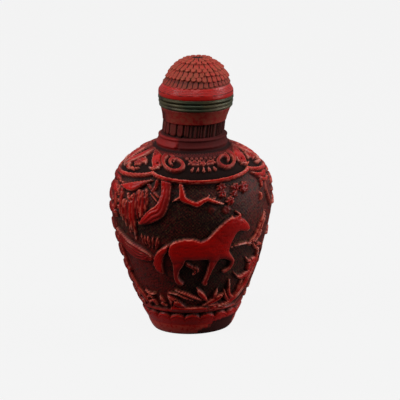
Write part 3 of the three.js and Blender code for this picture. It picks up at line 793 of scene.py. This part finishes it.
def blur(field, radius):
    """A box blur, run twice, round the body and up it."""
    for _ in range(2):
        for axis in (0, 1):
            shifted = [np.roll(field, step, axis) for step in range(-radius, radius + 1)]
            field = sum(shifted) / len(shifted)
    return field


def dust_on(height):
    """Dust lies on the ground just above a figure's upper edge."""
    return smooth((np.roll(height, 1, 0) - height) / RELIEF * 2 - 0.2)


# Meshes, made from rows of points in millimetres


def add_object(name, data):
    thing = bpy.data.objects.new(name, data)
    bpy.context.scene.collection.objects.link(thing)
    return thing


def smooth_piece(name, points, faces):
    """A piece with smooth shading, from points in millimetres."""
    mesh = bpy.data.meshes.new(name)
    mesh.from_pydata((points * MM).tolist(), [], faces)
    mesh.shade_smooth()
    return add_object(name, mesh)


def quads(rows):
    """Faces between each row of points and the next, and between the last row and the first."""
    index = np.arange(rows.shape[0] * rows.shape[1]).reshape(rows.shape[:2])
    right = np.roll(index, -1, 1)
    return np.stack([index, right, np.roll(right, -1, 0), np.roll(index, -1, 0)], -1)


def closed_mesh(name, rows, marks=None):
    """A closed surface through rows of points, capped at its first and last rows."""
    count, width = rows.shape[:2]
    points = np.vstack([rows.reshape(-1, 3), rows[0].mean(0), rows[-1].mean(0)])
    low, high = count * width, count * width + 1
    faces = quads(rows)[:-1].reshape(-1, 4).tolist()
    first, last = np.arange(width), np.arange(low - width, low)
    faces += [(low, b, a) for a, b in zip(first, np.roll(first, -1))]
    faces += [(high, a, b) for a, b in zip(last, np.roll(last, -1))]
    piece = smooth_piece(name, points, faces)
    if marks is not None:
        values = np.vstack([marks.reshape(-1, 4), marks[0].mean(0), marks[-1].mean(0)])
        layer = piece.data.color_attributes.new("marks", "FLOAT_COLOR", "POINT")
        layer.data.foreach_set("color", values.ravel())
    return piece


def ring_mesh(name, rows):
    """A ring whose last row of points joins its first."""
    return smooth_piece(name, rows.reshape(-1, 3), quads(rows).reshape(-1, 4).tolist())


def marks_for(rows, relief=1.0, dust=0.0, edge=0.5, shade=1.0):
    """What the lacquer's colour follows, for each point: how high it stands in the relief, how dusty it is,
    an edge mark (above 0.5 a worn rim with a painted highlight and, above 1, painted sheen; below 0.5
    painted shade in a groove or hollow), and how much of its colour is left, for real wear and for painted
    shade."""
    marks = np.empty((*rows.shape[:2], 4))
    for channel, value in enumerate((relief, dust, edge, shade)):
        marks[..., channel] = value
    return marks


def around(half_width, half_depth, z, angles=ANGLES):
    """Rows of points round the bottle."""
    x = half_width * np.sin(angles) + lean_at(z)
    return np.stack([x, -half_depth * np.cos(angles), np.broadcast_to(z, x.shape)], -1)


def rings(profile, angles, share=1.0):
    """Rows of points for (radius, height) rings; share is each ring's depth over its width."""
    profile = np.array(profile, float)
    radius, height = profile[:, :1], profile[:, 1:]
    share = np.broadcast_to(share, len(profile))[:, None]
    return around(radius, radius * share, height, angles)


# Neck and foot: mouldings as (inwards or outwards from a radius, up), and how much colour is left
RING_MOULDING = [
    (0.12, -0.02), (0.02, 0.1), (0, 0.3), (0.04, 0.5), (0.22, 0.65), (0.38, 1.1), (0.52, 1.6),
    (0.58, 1.95), (0.42, 2.1), (0.42, 2.35), (0.65, 2.52),
]
FOOT_MOULDING = [
    (-0.5, 0), (-0.2, 0.1), (0.05, 0.35), (0.3, 0.7), (0.6, 1.2), (0.9, 1.8), (1.15, 2.4), (1.33, 3.0),
]
RING_SHADE = 0.17
FLUTE_SHADE = 0.27
BAND_SHADE = 0.6
DEGREES = np.degrees(turned(ANGLES))


def near_angle(degrees, spread):
    """1 at an angle round the bottle, falling to 0 at a spread from it."""
    return near(0, math.radians(spread), turned(ANGLES - math.radians(degrees)))


def neck_profile(ring_top, band_base):
    """Radius and height of the neck's rows: a moulded ring, flutes, and a band that flares to the lip."""
    profile = [(NECK_RING_RADIUS - inwards, SHOULDER_HEIGHT + up) for inwards, up in RING_MOULDING]
    profile += [(NECK_RADIUS + 0.1, ring_top), (NECK_RADIUS - 0.35, ring_top + 0.08)]
    heights = np.linspace(ring_top + 0.25, band_base - 0.12, 13)
    profile += [(NECK_RADIUS - 0.02, height) for height in heights]
    foot, foot_height = NECK_RADIUS + 0.16, band_base + 0.16
    profile += [(NECK_RADIUS + 0.12, band_base), (foot, foot_height)]
    for share in np.linspace(0.1, 1, 9):
        flare = foot + (LIP_RADIUS - foot) * share**1.3
        profile.append((flare, foot_height + (NECK_TOP - foot_height) * share))
    return np.array(profile)


def neck():
    """The neck's rows of points from its ring to the lip, and their marks."""
    ring_top = SHOULDER_HEIGHT + NECK_RING_HEIGHT
    band_base = NECK_TOP - LIP_BAND_HEIGHT
    radius, height = np.split(neck_profile(ring_top, band_base), 2, 1)
    phase = ANGLES / TURN * FLUTE_COUNT + 0.18 * ripple(5 * ANGLES, 11 * ANGLES + 1)
    gap = np.abs(phase % 1 - 0.5) * 2
    # Panels with rounded lower ends on the left; worn to thin upright ridges from the front to the right
    panel_base = ring_top + 0.4 + 0.7 * gap**3
    panel = smooth((1 - gap) / 0.28) * smooth((height - panel_base) / 0.3 + 0.5)
    ridges = np.sin(1.1 * FLUTE_COUNT * ANGLES + 1.3 * ripple(6 * ANGLES, 17 * ANGLES)) ** 2
    ridged = smooth((DEGREES + 30) / 12) * smooth((75 - DEGREES) / 10)
    panel = panel + ridged * (0.15 + 0.6 * ridges - panel)
    fluted = between(ring_top, ring_top + 0.2, height) * (1 - between(band_base - 0.1, band_base, height))
    cut = fluted * (1 - panel)
    # The ring is chipped left of the front, and the lip is worn on the left and notched on the right
    up, down = height - SHOULDER_HEIGHT, NECK_TOP - height
    chip = near_angle(-36, 5) * (1 - between(0.5, 1.0, up))
    worn = near_angle(-84, 20) * between(4.5, 3.3, down) * (1 - between(1.7, 0.3, down))
    notch = near_angle(58, 6) * between(1.9, 1.1, down) * (1 - between(0.5, 0, down))
    ragged = 0.6 + 0.4 * ripple(40 * ANGLES, 3 * height)
    radius = radius - FLUTE_DEPTH * cut - 0.55 * chip - 0.4 * worn * ragged - 0.2 * notch
    rows = around(radius, radius, height)
    banded = height > band_base
    shade = np.where(height < band_base - 0.1, FLUTE_SHADE, BAND_SHADE)
    shade = np.where(height < ring_top + 0.1, RING_SHADE, shade)
    left = smooth((-34 - DEGREES) / 6) * (height < ring_top)
    # The grooves between the flutes take painted shade through their low edge mark.
    marks = marks_for(
        rows,
        relief=0.85 - 0.7 * cut,
        dust=fluted * (0.7 - 0.3 * panel) + 0.45 * banded,
        edge=0.5 + fluted * (0.55 * panel - 0.27) + 0.3 * banded,
        shade=(shade + 0.4 * left) * (1 - 0.75 * worn),
    )
    return rows, marks


def foot_profile():
    inner = FOOT_RADIUS - RIM_WIDTH
    recess = [(inner - 0.25, RECESS_DEPTH), (inner, RECESS_DEPTH - 0.15), (inner + 0.05, 0.12)]
    side = [(FOOT_RADIUS + outwards, up) for outwards, up in FOOT_MOULDING]
    return [*recess, (inner + 0.2, 0), *side]


def foot_wear_and_shade(height):
    """How much of the red is left on the foot: worn to black right of the front, and painted shade along its
    bottom edge.
    """
    ragged = 5 * ripple(23 * ANGLES, 57 * ANGLES + 2) + 3 * np.sin(7 * height)
    patch = smooth((DEGREES + 15 - 8.6 * height + ragged) / 6) * smooth((66 - DEGREES + ragged) / 10)
    patch = patch * smooth((4.9 - height) / 0.8)
    # Painted shade along the foot's rounded bottom edge
    rim = smooth((0.45 - height) / 0.3) * 0.6
    return 1 - 0.93 * np.maximum(patch, rim)


def chamber_rows():
    """The hollow from the mouth down the bore and round the chamber to the middle of its floor."""
    arcs = np.linspace(LENGTH - WALL, float(arc_at(FLOOR + 0.8)), 7)
    radius, height, out, up = on_outline(arcs)
    depth = RELIEF + WALL
    inner, level = radius - depth * out, height - depth * up
    share = (radius * depth_share(height) - depth * out) / inner
    roof = level[0] + 0.8
    bore = [(MOUTH_RADIUS, NECK_TOP), (MOUTH_RADIUS, roof)]
    floor_rings = [(inner[-1] - 1.6, FLOOR), (2.0, FLOOR)]
    profile = [*bore, *zip(inner, level), *floor_rings]
    rows = rings(profile, ANGLES, [1, 1, *share, share[-1], share[-1]])
    # The bore is upright under the mouth, while the chamber stands on the body's axis.
    rows[:2, :, 0] += NECK_LEAN - lean_at(np.array([NECK_TOP, roof]))[:, None]
    return rows


def body():
    """The carved body's rows of points, and their marks."""
    carving = carve()
    lift = carving.height - RELIEF
    out, up = ROW_OUT[:, None], ROW_UP[:, None]
    half_depth = (ROW_RADIUS * depth_share(ROW_HEIGHT))[:, None]
    rows = around(RADIUS + lift * out, half_depth + lift * out, HEIGHT + lift * up)
    shoulder = smooth((HEIGHT - 46.5) / 1.5)
    away = smooth((np.abs(carving.x) - 8) / 4)
    relief, flat = carving.height / RELIEF, carving.flat()
    # The edge mark: painted shade where the surface lies below its surroundings, and worn rims with a
    # painted highlight where it stands above them; the shoulder's sides take more, as painted sheen.
    edge = 0.5 + 0.4 * np.clip((carving.height - blur(carving.height, 2)) / 0.7, -1, 1)
    edge += (0.37 + 0.23 * shoulder * away) * carving.rim * (1 - flat)
    marks = marks_for(
        rows,
        relief=relief * (1 - 0.3 * flat) + 0.2 * redness(carving) * flat,
        dust=dust_on(carving.height) * (0.75 + 0.25 * shoulder) + 0.15 * shoulder * flat,
        edge=np.minimum(edge, 0.76 + between(6, 8, HEIGHT)),
        shade=carving.tone * np.where(HEIGHT < 6, foot_wear_and_shade(HEIGHT), 1),
    )
    return rows, marks


def bottle_piece():
    foot, hollow = rings(foot_profile(), ANGLES, FLATTENING), chamber_rows()
    parts = [
        (foot, marks_for(foot, edge=0.8, shade=foot_wear_and_shade(foot[..., 2]))),
        body(),
        neck(),
        (hollow, marks_for(hollow, relief=0.5, shade=0.5)),
    ]
    rows, marks = (np.vstack(part) for part in zip(*parts))
    return closed_mesh("carved_bottle", rows, marks)


def round_rows(profile, segments=128):
    """Rows of points round the axis of the mouth."""
    rows = rings(profile, np.linspace(0, TURN, segments, endpoint=False))
    rows[:, :, 0] += NECK_LEAN - lean_at(rows[:, :, 2])
    return rows


def collar_piece():
    base, top = NECK_TOP, NECK_TOP + COLLAR_HEIGHT
    middle = base + 0.5 * COLLAR_HEIGHT
    edge = COLLAR_RADIUS
    profile = [
        (MOUTH_RADIUS, base), (LIP_RADIUS - 0.05, base), (edge - 0.28, base + 0.1),
        (edge - 0.14, base + 0.3), (edge - 0.16, middle - 0.28), (edge - 0.34, middle - 0.14),
        (edge - 0.44, middle), (edge - 0.3, middle + 0.1), (edge - 0.04, middle + 0.2),
        (edge, middle + 0.35), (edge, top - 0.3), (edge - 0.1, top - 0.1), (edge - 0.34, top),
        (MOUTH_RADIUS, top),
    ]
    return ring_mesh("collar_ring", round_rows(profile))


def mount_piece():
    base, top = NECK_TOP + COLLAR_HEIGHT, MOUNT_TOP
    spigot, tip = MOUTH_RADIUS - SPIGOT_CLEARANCE, base - SPIGOT_LENGTH
    edge = MOUNT_RADIUS
    profile = [
        (0.5, tip), (spigot - 0.4, tip), (spigot, tip + 0.4), (spigot, base), (edge - 0.7, base),
        (edge - 0.6, base + 0.2), (edge - 0.14, base + 0.3), (edge, base + 0.45), (edge, top - 0.38),
        (edge - 0.12, top - 0.24), (edge - 0.02, top - 0.12), (edge - 0.1, top), (0.5, top),
    ]
    return closed_mesh("mount_ring", round_rows(profile))


# Dome of the stopper: a plain band, rows of petals that overlap downwards, and a rosette
PETAL_ROWS = [(0.15, 38), (0.275, 35), (0.365, 31), (0.455, 27), (0.545, 23), (0.64, 19), (0.735, 14)]
PETAL_LIFT = 0.55
ROSETTE_AT = 0.85
BAND_TOP = 1.4
CROWN_CORNERS = [(0.87, 0.34), (0.765, 0.56), (0.6, 0.77), (0.34, 0.93), (0.04, 0.965)]
CROWN_LEAN = 0.45


def dome_crown(count=120):
    """Radius, height, outward normal, share of the way up and length of the way, from band to middle."""
    corners = [(DOME_RADIUS, BAND_TOP)]
    corners += [(wide * DOME_RADIUS, tall * DOME_HEIGHT) for wide, tall in CROWN_CORNERS]
    crown = catmull(corners, 24)
    way = np.concatenate([[0], np.cumsum(np.hypot(*np.diff(crown, axis=0).T))])
    arcs = np.linspace(0, way[-1], count)
    radius, height = np.interp(arcs, way, crown[:, 0]), np.interp(arcs, way, crown[:, 1])
    along = np.gradient(np.stack([radius, height], -1), arcs, axis=0)
    along /= np.hypot(along[:, 0], along[:, 1])[:, None]
    return radius, height, along[:, 1], -along[:, 0], arcs / way[-1], way[-1]


def petals(share, angles):
    """Lift of the overlapping petals, and how deep in a gap between them a place is."""
    lift = np.zeros((len(share), len(angles)))
    gaps = np.zeros(lift.shape)
    for row, (tip, count) in enumerate(PETAL_ROWS):
        turns = angles / TURN * count + 0.37 * row
        number, phase = np.floor(turns), turns % 1
        # Each petal differs a little in length and tilt.
        odd = np.sin(12.9 * number + 4.1 * row)
        off = np.abs(phase - 0.5)[None, :] * 2
        start = tip + 0.018 * odd[None, :] + 0.045 * off**2.4
        covered = smooth((share[:, None] - start) / 0.01 + 0.5)
        tilt = np.clip((share[:, None] - start) / 0.1, 0, 1.4)
        gap = smooth((off - 0.74) / 0.2)
        size = 0.55 if row == 0 else 1.0
        petal = size * PETAL_LIFT * (1 - 0.72 * tilt) * (1 - 0.3 * off**2) * (1 + 0.2 * odd[None, :])
        lift = lift * (1 - covered) + petal * (1 - 0.75 * gap) * covered
        gaps = gaps * (1 - covered) + gap * covered
    return lift, gaps


def dome_piece():
    angles = np.linspace(0, TURN, 360, endpoint=False)
    radius, height, out, up, share, length = (np.array(part)[..., None] for part in dome_crown())
    lift, gaps = petals(share[:, 0], angles)
    distance = (1 - share) * length
    rosette = (1 - ROSETTE_AT) * length
    covered = smooth((rosette * (1 + 0.07 * np.cos(9 * angles)) - distance) / 0.3 + 0.5)
    hollow = covered * smooth(1.7 - 2.2 * distance / rosette)
    lift = lift * (1 - covered) + 0.36 * covered - 0.75 * hollow
    # Thin wavy cuts run round the plain band under the petals.
    level = share * length
    plain = (level < 0.1 * length) & (lift < 0.05)
    waves = plain * lines(level + 0.16 * ripple(5 * angles, 13 * angles, 8 * angles + 1), 0.42, 0.13)
    lift = lift - 0.09 * waves
    r = radius + lift * out
    z = np.minimum(height + lift * up, DOME_HEIGHT)
    lean = CROWN_LEAN * smooth((z - BAND_TOP) / (0.45 * DOME_HEIGHT))
    crown = np.stack([r * np.sin(angles) + lean, -r * np.cos(angles), z], -1)
    edge = DOME_RADIUS
    band = rings([(0.5, 0), (edge - 0.2, 0), (edge - 0.02, 0.15), (edge, 0.5), (edge, 0.95)], angles)
    petal = smooth((share - 0.13) / 0.03)
    high, low = smooth((lift / PETAL_LIFT - 0.75) * 4), smooth((0.25 - lift / PETAL_LIFT) * 6)
    # Painted shade in the gaps between petals, under each petal's overhang and in the rosette's hollow, and
    # on the lowest rows under the row above; the raised petal tips are worn lighter with a painted
    # highlight.
    crown_marks = marks_for(
        crown,
        relief=0.55 + 0.45 * petal - 0.3 * waves,
        dust=0.4 * gaps + 0.5 * petal,
        edge=0.5 - 0.4 * gaps - 0.18 * low * petal + 0.35 * high - 0.3 * hollow,
        shade=1 - 0.3 * petal * smooth((0.29 - share) / 0.03),
    )
    rows = np.vstack([band, crown]) + (NECK_LEAN, 0, MOUNT_TOP)
    return closed_mesh("petal_dome", rows, np.vstack([marks_for(band, relief=0.55), crown_marks]))


# Materials


class Nodes:
    """Short names for adding nodes to a tree."""

    def __init__(self, tree):
        self.tree = tree

    def add(self, kind, inputs=(), **settings):
        node = self.tree.nodes.new(kind)
        for key, value in settings.items():
            setattr(node, key, value)
        self.fill(node, inputs)
        return node

    def fill(self, node, inputs):
        """Links sockets, or sets their values."""
        for name, value in dict(inputs).items():
            if isinstance(value, bpy.types.NodeSocket):
                self.tree.links.new(value, node.inputs[name])
            else:
                node.inputs[name].default_value = value

    def math(self, operation, a, b):
        return self.add("ShaderNodeMath", {0: a, 1: b}, operation=operation).outputs[0]

    def times(self, a, b):
        return self.math("MULTIPLY", a, b)

    def plus(self, a, b):
        return self.math("ADD", a, b)

    def scaled(self, value, low, high):
        """0 at low and 1 at high."""
        return self.add("ShaderNodeMapRange", {0: value, 1: low, 2: high}).outputs[0]

    def mix(self, factor, a, b):
        return self.add("ShaderNodeMix", {0: factor, 6: a, 7: b}, data_type="RGBA").outputs[2]

    def ramp(self, factor, stops):
        node = self.add("ShaderNodeValToRGB", {"Fac": factor})
        elements = node.color_ramp.elements
        while len(elements) < len(stops):
            elements.new(0.5)
        for element, (position, colour) in zip(elements, stops):
            element.position = position
            element.color = (*colour, 1)
        return node.outputs[0]


class Surface(Nodes):
    """A new material, with its shader and its noises in the object's own space."""

    def __init__(self, name):
        self.material = bpy.data.materials.new(name)
        self.material.use_nodes = True
        super().__init__(self.material.node_tree)
        self.shader = self.tree.nodes["Principled BSDF"]
        self.place = self.add("ShaderNodeTexCoord").outputs["Object"]

    def noise(self, scale, detail):
        sockets = {"Vector": self.place, "Scale": scale, "Detail": detail, "Roughness": 0.55}
        return self.add("ShaderNodeTexNoise", sockets).outputs["Fac"]

    def swing(self, noise, amount):
        """A noise brought to around 0."""
        return self.times(self.math("SUBTRACT", noise, 0.5), amount)

    def bump(self, height, strength, distance):
        node = self.add("ShaderNodeBump", {"Height": height, "Strength": strength, "Distance": distance})
        self.fill(self.shader, {"Normal": node.outputs[0]})


BLACK = (0.012, 0.0035, 0.003, 1)
# Worn rims, which also carry a painted highlight
WORN_RIM_HIGHLIGHT = (0.76, 0.13, 0.08, 1)
# Painted sheen
PALE_SHEEN = (0.85, 0.4, 0.33, 1)
DUST = (0.13, 0.09, 0.032, 1)


def lacquer(name, bright, middle, ground, ground_red, roughness, specular):
    """Lacquer that is bright on top and dark in its ground, with dust and grime, worn rims that carry a
    painted highlight, pale streaks of painted sheen, and painted shade in grooves and hollows.
    """
    n = Surface(name)
    marks = n.add("ShaderNodeVertexColor", layer_name="marks")
    relief, dust, edge = n.add("ShaderNodeSeparateColor", {0: marks.outputs["Color"]}).outputs
    shade = marks.outputs["Alpha"]
    fine, coarse, grain = n.noise(1000, 5), n.noise(150, 3), n.noise(2400, 3)
    level = n.plus(relief, n.swing(fine, 0.25))
    patchy = n.plus(relief, n.swing(coarse, 0.3))
    low = n.mix(n.scaled(patchy, 0.07, 0.27), ground, ground_red)
    low = n.mix(n.times(n.scaled(fine, 0.52, 0.38), 0.85), low, BLACK)
    high = n.mix(n.scaled(level, 0.5, 0.95), middle, bright)
    high = n.mix(n.times(n.scaled(coarse, 0.6, 0.35), 0.45), high, middle)
    colour = n.mix(n.scaled(level, 0.27, 0.5), low, high)
    # Worn rims, lightened further as a painted highlight
    worn = n.times(n.scaled(edge, 0.7, 0.95), n.scaled(fine, 0.36, 0.54))
    colour = n.mix(n.times(worn, 0.85), colour, WORN_RIM_HIGHLIGHT)
    # Painted sheen: pale streaks where the edge mark runs above 1
    pale = n.times(n.scaled(edge, 0.98, 1.25), n.scaled(coarse, 0.3, 0.55))
    colour = n.mix(n.times(pale, 0.8), colour, PALE_SHEEN)
    speckle = n.times(n.scaled(grain, 0.54, 0.64), n.scaled(level, 0.5, 0.1))
    colour = n.mix(n.times(speckle, 0.5), colour, DUST)
    grime = n.times(dust, n.scaled(fine, 0.42, 0.6))
    colour = n.mix(n.times(grime, 0.65), colour, DUST)
    # Painted shade in grooves and close under figures, where the edge mark falls below 0.5
    colour = n.mix(n.scaled(edge, 0.42, 0.12), colour, BLACK)
    # The shade mark darkens the colour: real wear and dark paint, and painted shade
    colour = n.mix(shade, BLACK, colour)
    matte = n.times(n.math("MAXIMUM", n.math("SUBTRACT", 1.0, shade), dust), 0.65)
    rough = n.plus(n.times(fine, 0.25), n.plus(matte, roughness))
    rough = n.plus(n.times(n.scaled(relief, 0.5, 0.2), 0.25), rough)
    n.fill(n.shader, {"Base Color": colour, "Roughness": rough, "Specular IOR Level": specular})
    n.bump(n.plus(grain, n.times(fine, 1.5)), 0.35, 0.00012)
    return n.material


BRASS_PATCHES = [(0.34, (0.035, 0.022, 0.01)), (0.5, (0.09, 0.075, 0.032)), (0.66, (0.045, 0.055, 0.028))]


def brass(name):
    """Old brass in patches of brown and green."""
    n = Surface(name)
    patches, fine = n.noise(240, 5), n.noise(1500, 4)
    colour = n.ramp(patches, BRASS_PATCHES)
    rough = n.plus(n.times(fine, 0.35), 0.3)
    n.fill(n.shader, {"Base Color": colour, "Roughness": rough, "Metallic": 0.35})
    n.bump(fine, 0.3, 0.0001)
    return n.material


def dress(piece, material, node):
    piece.data.materials.append(material)
    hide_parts(node)
    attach(piece, "root")


body_lacquer = lacquer(
    "body_lacquer",
    bright=(0.55, 0.005, 0.003, 1),
    middle=(0.18, 0.004, 0.003, 1),
    ground=(0.02, 0.003, 0.002, 1),
    ground_red=(0.16, 0.01, 0.008, 1),
    roughness=0.17,
    specular=0.28,
)
dome_lacquer = lacquer(
    "dome_lacquer",
    bright=(0.41, 0.05, 0.03, 1),
    middle=(0.5, 0.006, 0.004, 1),
    ground=(0.06, 0.008, 0.006, 1),
    ground_red=(0.12, 0.01, 0.008, 1),
    roughness=0.25,
    specular=0.34,
)
metal = brass("old_brass")
dress(bottle_piece(), body_lacquer, "bottle")
dress(collar_piece(), metal, "mouth_collar")
dress(mount_piece(), metal, "stopper_mount")
dress(dome_piece(), dome_lacquer, "stopper_dome")


# Floor, lights and camera
AZIMUTH = math.radians(-12)
ELEVATION = math.radians(16.2)
DISTANCE = 0.45
LENS = 147.3
FLOOR_HALF = 3.0
PAPER = 0.896
LOOK_AT_RIGHT = 0.0022
LOOK_AT_HEIGHT = 0.0361
LIGHTS_AROUND = Vector((0, 0, 0.04))
LIGHT_DISTANCE = 0.6
# Name, azimuth and elevation in degrees, size in metres and power in watts
LIGHTS = [
    ("left", -80, 30, 0.2, 1.2), ("right", 84, 30, 0.14, 1.15), ("low_right", 64, 3, 0.14, 0.7),
    ("top", -20, 68, 0.2, 1.15),
]


def way_to(azimuth, elevation):
    """Direction from the bottle to an azimuth and an elevation, in radians."""
    level = math.cos(elevation)
    return Vector((math.sin(azimuth) * level, -math.cos(azimuth) * level, math.sin(elevation)))


def floor():
    """A pale floor that shows as paper, gives the object a faint shadow and doesn't light it."""
    mesh = bpy.data.meshes.new("floor")
    corners = [(FLOOR_HALF * x, FLOOR_HALF * y, 0) for x, y in ((-1, -1), (1, -1), (1, 1), (-1, 1))]
    mesh.from_pydata(corners, [], [(0, 1, 2, 3)])
    piece = add_object("floor", mesh)
    n = Surface("pale_floor")
    n.fill(n.shader, {"Base Color": (0.02, 0.02, 0.02, 1), "Specular IOR Level": 0, "Roughness": 1})
    n.fill(n.shader, {"Emission Color": (1, 1, 1, 1), "Emission Strength": PAPER - 0.01})
    mesh.materials.append(n.material)
    piece.visible_diffuse = False
    piece.visible_glossy = False


def aim(thing, place, target):
    thing.location = place
    thing.rotation_euler = (Vector(target) - Vector(place)).to_track_quat("-Z", "Y").to_euler()


def area_light(name, azimuth, elevation, size, power):
    light = bpy.data.lights.new(name, "AREA")
    light.shape = "DISK"
    light.size = size
    light.energy = power
    way = way_to(math.radians(azimuth), math.radians(elevation))
    aim(add_object(name, light), LIGHTS_AROUND + LIGHT_DISTANCE * way, LIGHTS_AROUND)


def studio():
    """Soft light all round, dimmer from below and from the photograph's side, so that only the sides
    and the top take a sheen; the camera itself sees plain paper."""
    world = bpy.data.worlds.new("studio")
    world.use_nodes = True
    n = Nodes(world.node_tree)
    way = n.add("ShaderNodeTexCoord").outputs["Generated"]
    towards = n.add("ShaderNodeVectorMath", {0: way, 1: way_to(AZIMUTH, 0)}, operation="DOT_PRODUCT")
    light = n.tree.nodes["Background"]
    rise = n.add("ShaderNodeSeparateXYZ", {0: way}).outputs["Z"]
    strength = n.add("ShaderNodeMapRange", {0: rise, 1: -0.3, 2: 0.8, 3: 0.3}).outputs[0]
    grey = n.ramp(towards.outputs["Value"], [(0.0, (0.5, 0.5, 0.5)), (0.75, (0.06, 0.06, 0.06))])
    n.fill(light, {0: grey, 1: strength})
    paper = n.add("ShaderNodeBackground", {0: (PAPER, PAPER, PAPER, 1)})
    seen = n.add("ShaderNodeLightPath").outputs["Is Camera Ray"]
    choice = n.add("ShaderNodeMixShader", {0: seen, 1: light.outputs[0], 2: paper.outputs[0]})
    n.fill(n.tree.nodes["World Output"], {0: choice.outputs[0]})
    bpy.context.scene.world = world
    for settings in LIGHTS:
        area_light(*settings)


def camera():
    data = bpy.data.cameras.new("camera")
    data.lens = LENS
    data.sensor_width = 36
    thing = add_object("camera", data)
    right = Vector((math.cos(AZIMUTH), math.sin(AZIMUTH), 0))
    target = LOOK_AT_RIGHT * right + Vector((0, 0, LOOK_AT_HEIGHT))
    aim(thing, target + DISTANCE * way_to(AZIMUTH, ELEVATION), target)
    bpy.context.scene.camera = thing


floor()
studio()
camera()
bpy.context.scene.view_settings.view_transform = "Standard"
